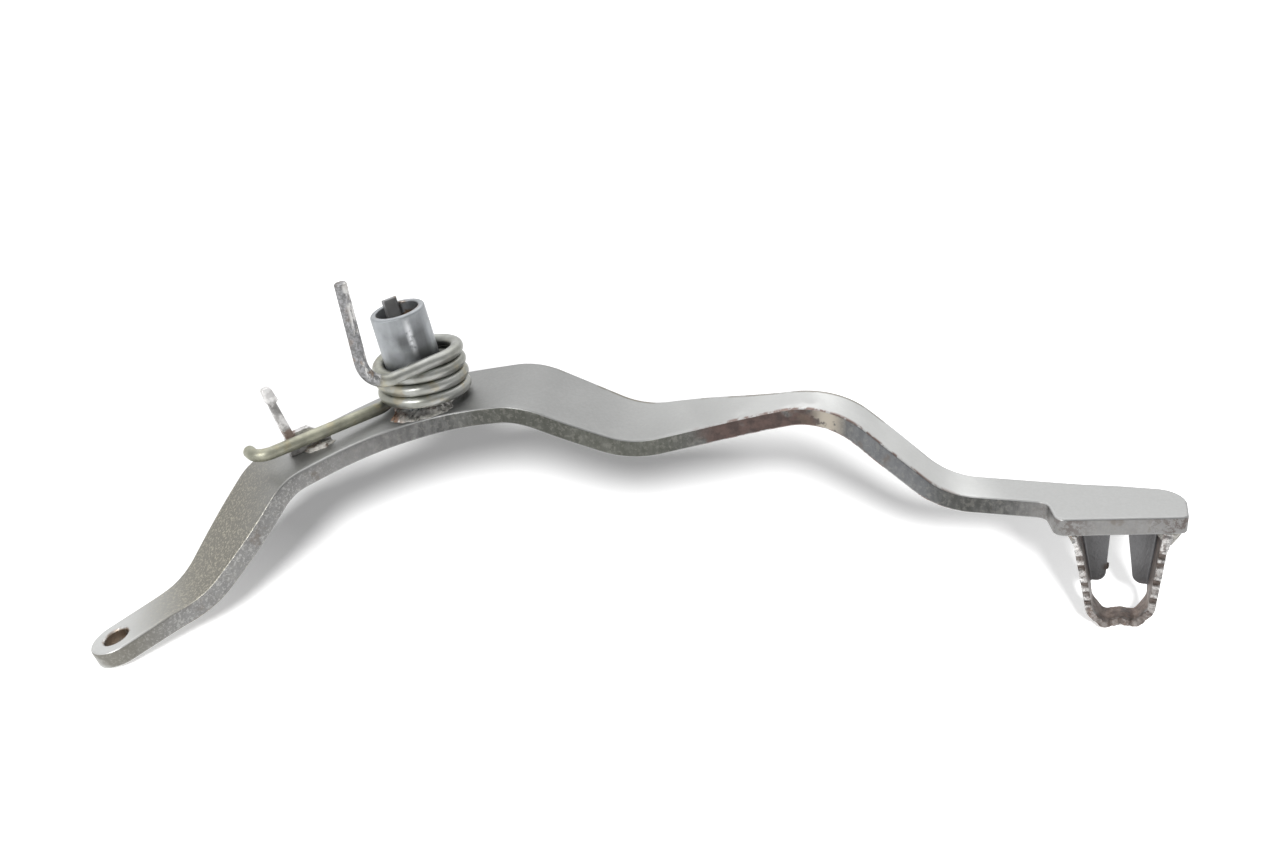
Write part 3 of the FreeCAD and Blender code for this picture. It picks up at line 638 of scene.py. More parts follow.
class Nodes:
    """Short hand for wiring the shader of a material or of the world."""

    def __init__(self, owner, shader="BSDF_PRINCIPLED"):
        owner.use_nodes = True
        self.owner = owner
        self.tree = owner.node_tree
        self.shader = next(n for n in self.tree.nodes if n.type == shader)
        self.place = self.add("TexCoord").outputs

    def wire(self, node, inputs):
        """Set a node's inputs, or link them where the value comes out of another node."""
        for name, value in dict(inputs).items():
            if isinstance(value, bpy.types.NodeSocket):
                self.tree.links.new(value, node.inputs[name])
            else:
                node.inputs[name].default_value = value

    def add(self, kind, inputs=(), **settings):
        """A new node with its settings and inputs."""
        node = self.tree.nodes.new("ShaderNode" + kind)
        for name, value in settings.items():
            setattr(node, name, value)
        self.wire(node, inputs)
        return node

    def axis(self, name, output="Object"):
        """One of the coordinates of a place or of a normal."""
        return self.add("SeparateXYZ", {0: self.place[output]}).outputs[name]

    def attribute(self, name):
        """A number that was painted on the mesh."""
        return self.add("Attribute", attribute_name=name).outputs["Fac"]

    def noise(self, scale, detail=4.0, rough=0.55, stretch=None):
        """Cloudy noise on the piece, drawn out where stretch is less than one."""
        vector = self.place["Object"]
        if stretch:
            vector = self.add("Mapping", {"Vector": vector, "Scale": stretch}).outputs["Vector"]
        inputs = {"Vector": vector, "Scale": scale, "Detail": detail, "Roughness": rough}
        return self.add("TexNoise", inputs).outputs["Fac"]

    def math(self, operation, *values, clamp=False):
        """One step of arithmetic."""
        return self.add("Math", enumerate(values), operation=operation, use_clamp=clamp).outputs[0]

    def times(self, value, *others):
        """Values multiplied together."""
        for other in others:
            value = self.math("MULTIPLY", value, other)
        return value

    def plus(self, a, b, clamp=False):
        """The sum of two values."""
        return self.math("ADD", a, b, clamp=clamp)

    def ramp(self, value, low, high, out_low=0.0, out_high=1.0, kind="SMOOTHSTEP"):
        """The range from low to high carried to another range, level before and after."""
        inputs = {"Value": value, "From Min": low, "From Max": high, "To Min": out_low, "To Max": out_high}
        return self.add("MapRange", inputs, interpolation_type=kind).outputs["Result"]

    def spots(self, scale, low, high, detail=4.0, rough=0.55, stretch=None):
        """Uneven spots: noise that is nothing below low and full above high."""
        return self.ramp(self.noise(scale, detail, rough, stretch), low, high)

    def window(self, value, low, high, soft):
        """One between low and high, falling to nothing over soft at both ends."""
        rise = self.ramp(value, low - soft, low + soft)
        return self.times(rise, self.ramp(value, high - soft, high + soft, 1.0, 0.0))

    def between(self, amount, a, b):
        """A number from a to b by the amount."""
        return self.add("Mix", {"Factor": amount, "A": a, "B": b}).outputs["Result"]

    def mix(self, amount, a, b):
        """A colour from a to b by the amount."""
        a, b = (c if isinstance(c, bpy.types.NodeSocket) else (*c, 1.0) for c in (a, b))
        return self.add("Mix", {"Factor": amount, 6: a, 7: b}, data_type="RGBA").outputs[2]

    def coats(self, colour, *coats):
        """A colour with coats laid over it in turn, each given by its amount and its tint."""
        for amount, over in coats:
            colour = self.mix(amount, colour, over)
        return colour

    def bump(self, height, strength, distance):
        """Fine relief that the shader's normal follows."""
        node = self.add("Bump", {"Strength": strength, "Distance": distance, "Height": height})
        self.wire(self.shader, {"Normal": node.outputs["Normal"]})

    def finish(self, colour, roughness, metallic):
        """The material with its colour, roughness and metal."""
        self.wire(self.shader, {"Base Color": colour, "Roughness": roughness, "Metallic": metallic})
        return self.owner


def new_material(name):
    """A new material to wire."""
    return Nodes(bpy.data.materials.new(name))


def bar_finish(looks):
    """Satin plate, dull round the boss and speckled on the lever; sheared edges grey, olive and rusty."""
    n = new_material("worn_plated_bar")
    along = n.axis("X")
    side = n.math("SUBTRACT", 1.0, n.ramp(n.math("ABSOLUTE", n.axis("Z", "Normal")), 0.22, 0.5))
    cloud = n.noise(38, 5)
    grain = n.noise(900, 3, 0.7)
    dust = n.spots(1150, 0.52, 0.6, 3, 0.8)
    lever = n.window(along, -0.09, -0.055, 0.014)
    bright, dark, rust = looks.bar_colour, looks.edge_colour, looks.rust_colour
    plate = n.coats(
        looks.boss_colour,
        (n.ramp(along, 0.05, 0.124), bright),
        (n.ramp(along, 0.158, 0.178, 0.0, 0.75), looks.toe_colour),
        (n.times(n.window(along, -0.044, -0.018, 0.012), 0.3), bright),
        (n.ramp(along, -0.105, -0.06, 0.95, 0.0), bright),
        (n.ramp(cloud, 0.3, 0.7, 0.24, 0.0), shade(bright, 0.45)),
        (n.times(lever, 0.68), LEVER_DULL),
        (n.times(lever, dust, 0.6), LEVER_DUST),
        (n.times(n.attribute("far_rim"), n.spots(95, 0.42, 0.56), 0.9), FAR_STAIN),
        (n.times(n.attribute("near_rim"), n.spots(210, 0.42, 0.54, 5, 0.65), 0.8), NEAR_STAIN),
    )
    darker = n.plus(n.window(along, 0.014, 0.042, 0.01), n.window(along, 0.15, 0.17, 0.008))
    paler = n.plus(n.ramp(along, -0.035, 0.005, 0.5, 0.0), n.ramp(along, 0.172, 0.19, 0.0, 0.62))
    rusty = n.times(n.window(along, 0.082, 0.119, 0.005), n.spots(110, 0.28, 0.44, 5))
    mottled = n.mix(n.spots(260, 0.36, 0.64, 5, 0.65), shade(rust, 0.65), shade(rust, 1.35))
    flakes = n.times(n.window(along, 0.1165, 0.1235, 0.003), n.spots(190, 0.4, 0.48, 4, 0.6))
    corners = n.plus(n.ramp(along, 0.188, 0.2, 0.7, 0.0), n.ramp(along, 0.204, 0.226))
    dirt = n.times(n.ramp(along, 0.18, 0.187), n.spots(480, 0.47, 0.58, 5, 0.75))
    edge = n.coats(
        dark,
        (n.spots(470, 0.36, 0.68, 5, 0.7, DRIPS), shade(dark, 1.8)),
        (n.times(n.window(along, 0.012, 0.078, 0.012), 0.5), EDGE_OLIVE),
        (n.times(darker, 0.45), EDGE_SOOT),
        (paler, EDGE_PALE),
        (n.times(n.window(along, 0.126, 0.152, 0.006), 0.45), EDGE_BLUE),
        (n.times(n.spots(620, 0.5, 0.62, 4, 0.72), 0.22), EDGE_SPECK),
        (n.times(n.ramp(along, -0.05, -0.02, 0.4, 0.0), dust), EDGE_DUST),
        (n.times(rusty, 0.92), mottled),
        (flakes, EDGE_FLAKE),
        (n.ramp(along, -0.1, -0.08, 0.5, 0.0), LEVER_EDGE),
        (n.times(n.spots(75, 0.6, 0.68, 4, 0.6), 0.4), EDGE_SPOT),
        (n.times(corners, dirt, 0.85), CORNER_DIRT),
    )
    back = n.times(n.ramp(n.axis("Y", "Normal"), 0.25, 0.5), n.spots(55, 0.46, 0.56, 3))
    colour = n.coats(
        plate,
        (side, edge),
        (n.times(n.attribute("eye_wall"), n.spots(300, 0.36, 0.52), 0.75), HOLE_RUST),
        (n.times(back, 0.6), BACK_RUST),
    )
    wear = n.plus(n.times(grain, 0.5), n.times(cloud, 0.5))
    n.bump(n.plus(n.times(grain, 0.4), n.times(n.noise(240, 4), 0.6)), 0.22, 0.0004)
    return n.finish(colour, n.ramp(wear, 0.3, 0.7, 0.38, 0.56), n.ramp(rusty, 0.0, 1.0, 0.92, 0.3))


def tube_finish(looks):
    """Turned bluish steel, faint marks up its length, painted shade on its right side and in patches, a
    painted highlight stripe, rusty inside the rim.
    """
    n = new_material("turned_tube_steel")
    marks = n.noise(700, 4, 0.6, SCORES)
    cloud = n.noise(130, 5, 0.6)
    colour = n.coats(
        shade(looks.tube_colour, 0.78),
        (n.ramp(cloud, 0.35, 0.65), looks.tube_colour),
        # Painted shade: the tube's right side and two patches darker
        (n.times(n.attribute("rubbed"), n.spots(210, 0.2, 0.42)), TUBE_SHADE_TINT),
        # Painted highlight: a bright stripe up the tube
        (n.times(n.attribute("polished"), n.spots(330, 0.34, 0.54, 4, 0.65)), TUBE_HIGHLIGHT_TINT),
        (n.times(n.attribute("inside"), n.spots(150, 0.48, 0.6)), BORE_RUST),
    )
    n.bump(n.plus(marks, n.times(cloud, 0.6)), 0.14, 0.0004)
    return n.finish(colour, n.ramp(marks, 0.3, 0.7, 0.4, 0.52), 0.93)


def wire_finish(looks):
    """Zinc on drawn wire, olive in clouds; the standing leg greyer, flaked bare and rusty, its bright flakes
    kept to its right-facing side as a painted highlight.
    """
    n = new_material("zinc_spring_wire")
    cloud = n.noise(95, 4)
    grain = n.noise(1100, 3, 0.7)
    red, green, blue = looks.wire_colour
    long_leg = n.ramp(n.axis("X"), -0.021, -0.009, 1.0, 0.0)
    left = n.ramp(n.axis("X"), -0.0165, -0.0145, 1.0, 0.0)
    standing = n.times(n.ramp(n.axis("Z"), 0.011, 0.017), left)
    pitted = n.mix(n.spots(800, 0.4, 0.62, 4, 0.75), LEG_PIT, LEG_GREY)
    # Bright flakes only on faces turned towards +X: flaking, and a painted highlight on the lit side
    lit_side = n.ramp(n.axis("X", "Normal"), -0.1, 0.35)
    flakes = n.times(standing, lit_side, n.spots(420, 0.48, 0.54, 5, 0.7, DRIPS))
    low = n.ramp(n.axis("Z"), 0.016, 0.036, 1.0, 0.25)
    rust = n.times(standing, low, n.spots(230, 0.55, 0.63, 4, 0.6))
    rust = n.plus(rust, n.times(n.spots(260, 0.64, 0.7, 4, 0.6), 0.35), clamp=True)
    colour = n.coats(
        looks.wire_colour,
        (long_leg, (red * 1.02, green, blue * 0.84)),
        (n.ramp(cloud, 0.36, 0.64, 0.62, 0.0), (red * 0.42, green * 0.42, blue * 0.36)),
        (n.times(n.spots(150, 0.55, 0.66, 3), 0.4), ZINC_YELLOW),
        (standing, pitted),
        (flakes, LEG_FLAKE_AND_HIGHLIGHT),
        (n.times(rust, 0.7), WIRE_RUST),
    )
    half_grain = n.times(grain, 0.5)
    shine = n.plus(half_grain, n.times(flakes, -0.4))
    n.bump(n.plus(half_grain, n.times(flakes, -0.6)), 0.24, 0.0003)
    rough = n.plus(n.ramp(shine, 0.0, 0.5, 0.28, 0.48), n.times(long_leg, 0.14))
    return n.finish(colour, rough, n.ramp(rust, 0.0, 1.0, 0.93, 0.4))


def bush_finish():
    """Dark oxidised sleeve with brown rust in the hollow."""
    n = new_material("dark_bush_steel")
    colour = n.mix(n.times(n.spots(160, 0.5, 0.62, 5), 0.6), BUSH_DARK, BUSH_RUST)
    n.bump(n.noise(700, 3), 0.2, 0.0003)
    return n.finish(colour, n.ramp(n.noise(300, 3), 0.3, 0.7, 0.38, 0.6), 0.7)


def sheet_finish(looks):
    """Worn sheet: its cut near edge bare with brown nicks darkened by painted shade, brown rust inside the
    legs and on the floor.
    """
    n = new_material("worn_sheet_steel")
    cloud = n.noise(110, 5)
    rust = n.times(n.attribute("rusty"), n.spots(190, 0.26, 0.48, 5, 0.65))
    bare = n.times(n.attribute("bare"), n.spots(520, 0.38, 0.56, 5, 0.75))
    # Painted shade in the nicks with brown grime, darker along the floor's near edge, and soot round the burr
    nick = n.times(n.attribute("nick"), n.spots(560, 0.28, 0.44, 4, 0.75))
    colour = n.coats(
        shade(looks.sheet_colour, 0.75),
        (n.ramp(cloud, 0.35, 0.65), looks.sheet_colour),
        (n.times(rust, 0.85), n.mix(n.spots(330, 0.38, 0.62, 5, 0.7), PAD_BROWN, PAD_RUST)),
        (bare, PAD_BARE),
        (n.times(nick, 0.92), PAD_NICK_SHADE),
    )
    n.bump(n.plus(n.noise(420, 4, 0.7), n.times(n.noise(1200, 3), 0.5)), 0.35, 0.0005)
    dull = n.math("MAXIMUM", n.times(rust, 0.6), n.times(bare, 0.45))
    return n.finish(colour, n.ramp(cloud, 0.3, 0.7, 0.38, 0.56), n.math("SUBTRACT", 0.85, dull))


def hook_finish():
    """Bare light head and a grey base; the shank dark below the barb and rusty at its foot."""
    n = new_material("worn_hook_steel")
    high = n.axis("Z")
    speck = n.spots(420, 0.4, 0.62, 5, 0.7)
    stain = n.times(n.window(high, 0.0042, 0.0078, 0.0012), n.spots(330, 0.36, 0.5))
    shank = n.ramp(n.axis("X"), -0.0432, -0.0424, 1.0, 0.0)
    rust = n.times(n.window(high, -0.005, -0.0012, 0.0012), shank, n.spots(300, 0.44, 0.54))
    colour = n.coats(
        HOOK_DULL,
        (speck, HOOK_BARE),
        (n.times(stain, 0.8), HOOK_STAIN),
        (n.times(rust, 0.8), HOOK_RUST),
        (n.ramp(high, 0.0078, 0.0094), n.mix(speck, HEAD_DULL, HEAD_BARE)),
    )
    n.bump(n.noise(600, 4, 0.7), 0.22, 0.0003)
    return n.finish(colour, n.ramp(speck, 0.0, 1.0, 0.5, 0.36), n.ramp(rust, 0.0, 1.0, 0.8, 0.4))


def weld_finish(name, colour, matt, stain_end=None):
    """Weld metal, darker in clouds, with rust in spots and at one end; matt where it is oxidised."""
    n = new_material(name)
    cloud = n.noise(300, 5, 0.7)
    rust = n.times(n.spots(330, 0.57, 0.66), 0.55)
    if stain_end is not None:
        end = n.ramp(n.axis("X"), stain_end, stain_end + 0.004, 1.0, 0.0)
        rust = n.math("MAXIMUM", rust, n.times(end, n.spots(420, 0.4, 0.52)))
    bright = tuple(min(c, 0.9) for c in shade(colour, 1.25))
    tone = n.coats(shade(colour, 0.5), (n.ramp(cloud, 0.36, 0.62), bright), (rust, WELD_RUST))
    n.bump(n.plus(cloud, n.times(n.noise(900, 4, 0.7), 0.6)), 0.5, 0.0005)
    rough = n.ramp(cloud, 0.3, 0.7, 0.24 + 0.3 * matt, 0.46 + 0.22 * matt)
    return n.finish(tone, rough, 0.9 - 0.75 * matt)


# Properties


def length(name, description, default):
    return FloatProperty(name=name, description=description, default=default, unit="LENGTH")


def tint(name, description, default):
    return FloatVectorProperty(
        name=name, description=description, default=default, subtype="COLOR", size=3, min=0, max=1
    )


class PedalSizes(bpy.types.PropertyGroup):
    plate: length("Bar thickness", "Thickness of the flat bar", 0.006)
    edge: length("Edge round", "Radius on the bar's edges", 0.0007)
    wire: length("Wire", "Diameter of the spring wire", 0.0041)
    coil: length("Coil radius", "Radius of the wire's middle", 0.0131)
    pitch: length("Coil pitch", "Rise of the coil in a turn", 0.00416)
    tube: length("Tube diameter", "Outside of the pivot tube", 0.018)
    bore: length("Tube bore", "Inside of the pivot tube", 0.014)
    sheet: length("Pad sheet", "Thickness of the folded pad", 0.0023)
    tooth: length("Tooth depth", "Depth of the pad's notches", 0.0012)


class PedalLooks(bpy.types.PropertyGroup):
    bar_colour: tint("Bar", "Satin plate on the bar's faces", (0.66, 0.665, 0.655))
    boss_colour: tint("Boss", "Dulled plate round the pivot", (0.29, 0.292, 0.288))
    toe_colour: tint("Toe", "Plate worn by the foot", (0.34, 0.342, 0.34))
    edge_colour: tint("Bar edge", "Sheared edge of the bar", (0.09, 0.09, 0.088))
    rust_colour: tint("Rust", "Rust on the bar's near edge", (0.075, 0.045, 0.038))
    tube_colour: tint("Tube", "Turned steel of the pivot tube", (0.4, 0.418, 0.435))
    wire_colour: tint("Spring", "Zinc on the spring wire", (0.43, 0.436, 0.415))
    sheet_colour: tint("Pad", "Sheet of the foot pad", (0.22, 0.22, 0.225))
    weld_colour: tint("Tube weld", "Weld run round the tube", (0.68, 0.665, 0.635))
    bead_colour: tint("Small welds", "Pale beads at the hook and the pad", (0.5, 0.485, 0.45))
    floor_colour: tint("Floor", "Bench top and backdrop", (0.86, 0.86, 0.86))


# Operators


class PEDAL_OT_arm(bpy.types.Operator):
    """Bent bar: a plan outline with rounded edges laid on the two side views, with its holes"""

    bl_idname = "pedal.arm"
    bl_label = "Pedal arm"

    def outline(self):
        """Near and far chains of the plan, paired from the rod end to the end of the foot plate."""
        near = [
            *lever_xy([(LEVER_NECK_S, -ROD_END), (88.8, -ROD_END - 2.4)]),
            *lever_xy([(70.3, -ROD_END - 6.0), (54.3, -ROD_END - 5.2)]),
            (-26, -BOSS_NEAR),
            (8, -BOSS_NEAR),
            *arm_xy([(39, -BOSS_NEAR + 1.2), (66.5, -NECK_NEAR - 7.4), (86.5, -NECK_NEAR - 4.2)]),
            *arm_xy([(116.2, -NECK_NEAR - 0.3), (144.2, -NECK_NEAR - 1.0), (NECK_S, -NECK_NEAR)]),
        ]
        far = [
            *lever_xy([(LEVER_NECK_S, ROD_END), (85.8, ROD_END + 2.8)]),
            *lever_xy([(70.3, ROD_END + 5.6), (40.3, ROD_END + 6.0)]),
            (-4, BOSS_FAR),
            *arm_xy([(25, BOSS_FAR + 0.6), (66.5, NECK_FAR + 8.0), (88.5, NECK_FAR + 5.2)]),
            *arm_xy([(118.2, NECK_FAR - 0.9), (144.2, NECK_FAR + 1.3), (NECK_S, NECK_FAR)]),
        ]
        notch_end = PAD_NOTCH_AT + PAD_NOTCH_LENGTH
        toe_near = [
            (0, -NECK_NEAR),
            (PAD_NOTCH_AT + PAD_NOTCH_LEAD, -NECK_NEAR),
            (notch_end - PAD_NOTCH_TRAIL, -PAD_NEAR_START - PAD_NOTCH_LIP),
            (TOE_LENGTH, -PAD_NEAR_END),
            (TOE_LENGTH, 0),
        ]
        toe_far = [
            (0, NECK_FAR),
            (TOE_LENGTH - TOE_SWELL_START, NECK_FAR),
            (TOE_LENGTH - TOE_SWELL_END, NECK_FAR + TOE_SWELL),
            (TOE_LENGTH, NECK_FAR + TOE_SWELL),
            (TOE_LENGTH, 0),
        ]
        near_rounds = [PAD_NOTCH_ROUND, PAD_NOTCH_ROUND, TOE_NEAR_CORNER]
        far_rounds = [TOE_SWELL_BEND, TOE_SWELL_BEND, TOE_FAR_CORNER]
        chains = []
        for side, points, toe, rounds in ((-1, near, toe_near, near_rounds), (1, far, toe_far, far_rounds)):
            chain = spline(points, -LEVER_DIR, ARM_DIR, 4000)
            on_lever, on_arm = chain @ LEVER_DIR, chain @ ARM_DIR
            first = np.argmax(on_lever < SEAT_ON_LEVER)
            last = len(chain) - np.argmax(on_arm[::-1] < SEAT_ON_ARM)
            s = np.linspace(LEVER_NECK_S, on_lever[first], 70)
            back = slice(first + 1)
            lever = np.stack([np.interp(-s, -on_lever[back], chain[back, k]) for k in (0, 1)], 1)
            seat = even(chain[first : last + 1], 84)
            s = np.linspace(on_arm[last], NECK_S, 150)
            arm = np.stack([np.interp(s, on_arm[last:], chain[last:, k]) for k in (0, 1)], 1)
            turn = np.linspace(0, math.pi / 2, 26)
            reach = ROD_END * math.cos(LEVER_SLOPE)
            tip = np.stack([EYE_S + reach * np.cos(turn), side * ROD_END * np.sin(turn)], 1)
            neck = np.stack([np.linspace(EYE_S, LEVER_NECK_S, 14), np.full(14, side * ROD_END)], 1)
            foot = even(rounded_path(toe, rounds), 150)
            foot[:, 0] = NECK_S + foot[:, 0] * math.cos(TOE_SLOPE)
            parts = [lever_xy(tip), lever_xy(neck)[1:], lever[1:], seat[1:], arm[1:], arm_xy(foot)[1:]]
            chains.append(np.concatenate(parts))
        return chains

    def execute(self, context):
        sizes, looks = context.scene.pedal_sizes, context.scene.pedal_looks
        thick, edge, bore = sizes.plate / MM, sizes.edge / MM, sizes.bore / MM / 2
        near, far = self.outline()
        loop = np.concatenate([near, far[-2:0:-1]])
        loop = loop + inward(loop) * WITHIN
        rings, rim = slab(loop, thick, edge, bent, cap=False)
        # Each face is spanned by straight lines from the near chain to its partners on the far one
        count, lines = len(near), 25
        k = np.arange(count)
        partner = np.where((k == 0) | (k == count - 1), k, 2 * count - 2 - k)
        share = np.linspace(0, 1, lines)[None, :, None]
        patches = [rim]
        for ring, depth in ((rings[0], 0.0), (rings[-1], thick)):
            sheet = ring[k][:, None] * (1 - share) + ring[partner][:, None] * share
            patches.append((bent(sheet, np.full(sheet.shape[:2], depth)), quads(count, lines)))
        arm = piece("pedal_arm_bar", patches)
        eye = np.append(LEVER_DIR * EYE_S + LEVER_FAR * LEVER_OFFSET, EYE_Z)
        for_rod = [(0, -CUTTER_OVER)] + [(ROD_HOLE + r, d) for r, d in HOLE_FLARE]
        for_tube = [(0, -SEAT_CUTTER_OVER), (bore, -SEAT_CUTTER_OVER)]
        for profile, radius in ((for_rod, ROD_HOLE), (for_tube, bore)):
            profile += [(radius + r, thick - d) for r, d in HOLE_FLARE[::-1]] + [(0, thick + CUTTER_OVER)]
        drill(
            arm,
            piece("rod_cutter", [revolved(for_rod, eye, -LEVER_UP, 72)]),
            piece("bore_cutter", [revolved(for_tube, (0, 0, 0), -UP, 96)]),
        )
        smooth(arm, 35)
        at = points_of(arm)
        from_eye = np.linalg.norm(np.cross(at - eye, LEVER_UP), axis=1)
        s, across = at[:, :2] @ ARM_DIR, at[:, :2] @ ARM_FAR
        to_far = np.interp(s, far @ ARM_DIR, far @ ARM_FAR) - across
        to_near = across - np.interp(s, near @ ARM_DIR, near @ ARM_FAR)
        paint(
            arm,
            far_rim=np.clip(1.9 - to_far, 0, 1) * band(s, 45, 150, 20),
            near_rim=np.clip(1.5 - to_near, 0, 1) * band(s, 92, 160, 16),
            eye_wall=fade(ROD_HOLE + 0.7 - from_eye, 0.4),
        )
        dress(arm, bar_finish(looks), "pedal", "plated_bar", "pedal_arm")
        return {"FINISHED"}


class PEDAL_OT_tube(bpy.types.Operator):
    """Turned pivot tube with a rounded rim, and the keyed bush inside it"""

    bl_idname = "pedal.tube"
    bl_label = "Pivot tube and bush"

    def tube(self, outer, inner, looks):
        """A profile up the outside, over the rim and down the bore, turned round the pivot."""
        wall = outer - inner
        profile = [
            np.stack([np.full(34, outer), np.linspace(0, TUBE_HEIGHT - WALL_STOP, 34)], 1),
            quarter(outer - RIM_ROUND, TUBE_HEIGHT - RIM_ROUND, RIM_ROUND, 0, 9),
            quarter(inner + RIM_BEVEL, TUBE_HEIGHT - RIM_BEVEL, RIM_BEVEL, 1, 9),
            np.stack([np.full(12, inner), np.linspace(TUBE_HEIGHT - BORE_STOP, 0, 12)], 1),
        ]
        tube = piece("pivot_tube_wall", [revolved(np.concatenate(profile), (0, 0, 0), UP, 128, True)])
        at = points_of(tube)
        reach = np.linalg.norm(at[:, :2], axis=1)
        bearing = np.degrees(np.arctan2(at[:, 1], at[:, 0]))
        # Painted shade on the right side and in patches, and a painted highlight stripe, set by bearing and
        # height
        shade_marks = [amount * band(bearing, *turn) * band(at[:, 2], *high) for amount, turn, high in TUBE_SHADES]
        turn, high = TUBE_HIGHLIGHT
        paint(
            tube,
            inside=fade(inner + 0.3 * wall - reach, 0.2 * wall),
            rubbed=np.minimum(sum(shade_marks), 1),
            polished=band(bearing, *turn) * band(at[:, 2], *high),
        )
        dress(tube, tube_finish(looks), "pedal", "tube_steel", "pivot_tube")

    def bush(self, skin, plate):
        """A sleeve with rounded rims turned round the pivot, and its tongue bent to the same curve."""
        e = BUSH_EDGE
        profile = [
            quarter(skin - e, BUSH_TOP - e, e, 0, 5),
            quarter(BUSH_BORE + e, BUSH_TOP - e, e, 1, 5),
            quarter(BUSH_BORE + e, -plate + e, e, 2, 5),
            quarter(skin - e, -plate + e, e, 3, 5),
        ]
        sleeve = revolved(np.concatenate(profile), (0, 0, 0), UP, 96, True)
        half, root = TONGUE_WIDTH / 2, BUSH_TOP - TONGUE_ROOT
        middle = np.append(unit(TONGUE_ANGLE), 0.0)
        aside = np.append(unit(TONGUE_ANGLE + 90), 0.0)
        corners = [(-half, root), (half, root), (half, TONGUE_TOP), (-half, TONGUE_TOP)]

        def place(xy, depth):
            """The tongue follows the sleeve's curve: out along the radius at each turn from its middle."""
            turn = xy[..., 0] / skin
            out = (skin - TONGUE_SINK - depth)[..., None]
            ray = middle * np.cos(turn)[..., None] + aside * np.sin(turn)[..., None]
            return ray * out + UP * xy[..., 1:2]

        thick = skin - BUSH_BORE - TONGUE_STEP
        _, tongue = slab(closed_outline(corners, TONGUE_CORNER), thick, e, place)
        bush = piece("pivot_bush_sleeve", [sleeve, tongue])
        dress(bush, bush_finish(), "bush", "bush_steel", "pivot_bush")

    def execute(self, context):
        sizes = context.scene.pedal_sizes
        inner = sizes.bore / MM / 2
        self.tube(sizes.tube / MM / 2, inner, context.scene.pedal_looks)
        self.bush(inner - BUSH_CLEARANCE, sizes.plate / MM)
        return {"FINISHED"}


class PEDAL_OT_spring(bpy.types.Operator):
    """Torsion spring of round wire: coil, standing leg and the long leg with its bent tip"""

    bl_idname = "pedal.spring"
    bl_label = "Return spring"

    def path(self, wire, coil, pitch):
        """Left-hand helix (radius times cos and sin, rising evenly), tipped a little, with its two legs."""
        turns = COIL_FULL_TURNS + (COIL_END_ANGLE - COIL_START_ANGLE) / 360
        rise = pitch * turns
        q = np.linspace(0, 1, 1400)
        angle = np.radians(COIL_END_ANGLE - 360 * turns * q)
        c, s = math.cos(COIL_TILT), math.sin(COIL_TILT)
        x, y, z = coil * np.cos(angle), coil * np.sin(angle), rise * (q - 0.5)
        helix = np.stack([c * x + s * z, y, COIL_FOOT + rise / 2 - s * x + c * z], 1) + COIL_SHIFT
        axis = np.array([s, 0.0, c])
        foot, head = helix[0], helix[-1]
        foot_run, head_run = direction(foot - helix[1]), direction(head - helix[-2])
        knee = head + head_run * UPRIGHT_KNEE
        elbow = knee + direction(head_run - axis * (head_run @ axis)) * UPRIGHT_REACH
        upright = [head, knee, elbow, elbow + axis * UPRIGHT_LENGTH]
        corner = foot + foot_run * LEG_EXIT
        passing = HOOK_FOOT + HOOK_DIR * HOOK_WIRE_ALONG + HOOK_OUT * (wire / 2 + HOOK_WIRE_GAP)
        passing = passing + UP * HOOK_WIRE_HEIGHT
        tip = corner + direction(passing - corner) * LEG_LENGTH
        leg = [foot, corner, tip, tip - HOOK_OUT * LEG_TIP]
        leg = rounded_path(leg, [LEG_BEND, LEG_TIP_BEND])
        upright = rounded_path(upright, [UPRIGHT_KNEE_BEND, UPRIGHT_BEND])
        return np.concatenate([leg[:0:-1], helix, upright[1:]])

    def execute(self, context):
        sizes, looks = context.scene.pedal_sizes, context.scene.pedal_looks
        wire = sizes.wire / MM
        line = even(self.path(wire, sizes.coil / MM, sizes.pitch / MM), 1500)
        reach = travelled(line)
        from_end = np.minimum(reach, reach[-1] - reach)
        radius = wire / 2 - WIRE_END_ROUND * (1 - fade(from_end, WIRE_END_RUN)) ** 2
        spring = piece("return_spring_wire", [swept(line, radius, 28)], 50)
        dress(spring, wire_finish(looks), None, "spring_wire", "return_spring")
        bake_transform(spring)
        return {"FINISHED"}


class PEDAL_OT_hook(bpy.types.Operator):
    """Stamped bracket on edge with a barbed head for the switch spring"""

    bl_idname = "pedal.hook"
    bl_label = "Switch hook"

    def execute(self, context):
        def place(xy, depth):
            """Along the base, up from the seat, then back through the sheet."""
            return HOOK_FOOT + HOOK_DIR * xy[..., :1] + UP * xy[..., 1:2] - HOOK_OUT * depth[..., None]

        _, plate = slab(closed_outline(HOOK_OUTLINE, HOOK_CORNER), HOOK_SHEET, HOOK_EDGE, place)
        hook = piece("switch_hook_plate", [plate])
        dress(hook, hook_finish(), "pedal", "sheet_steel", "switch_hook")
        return {"FINISHED"}


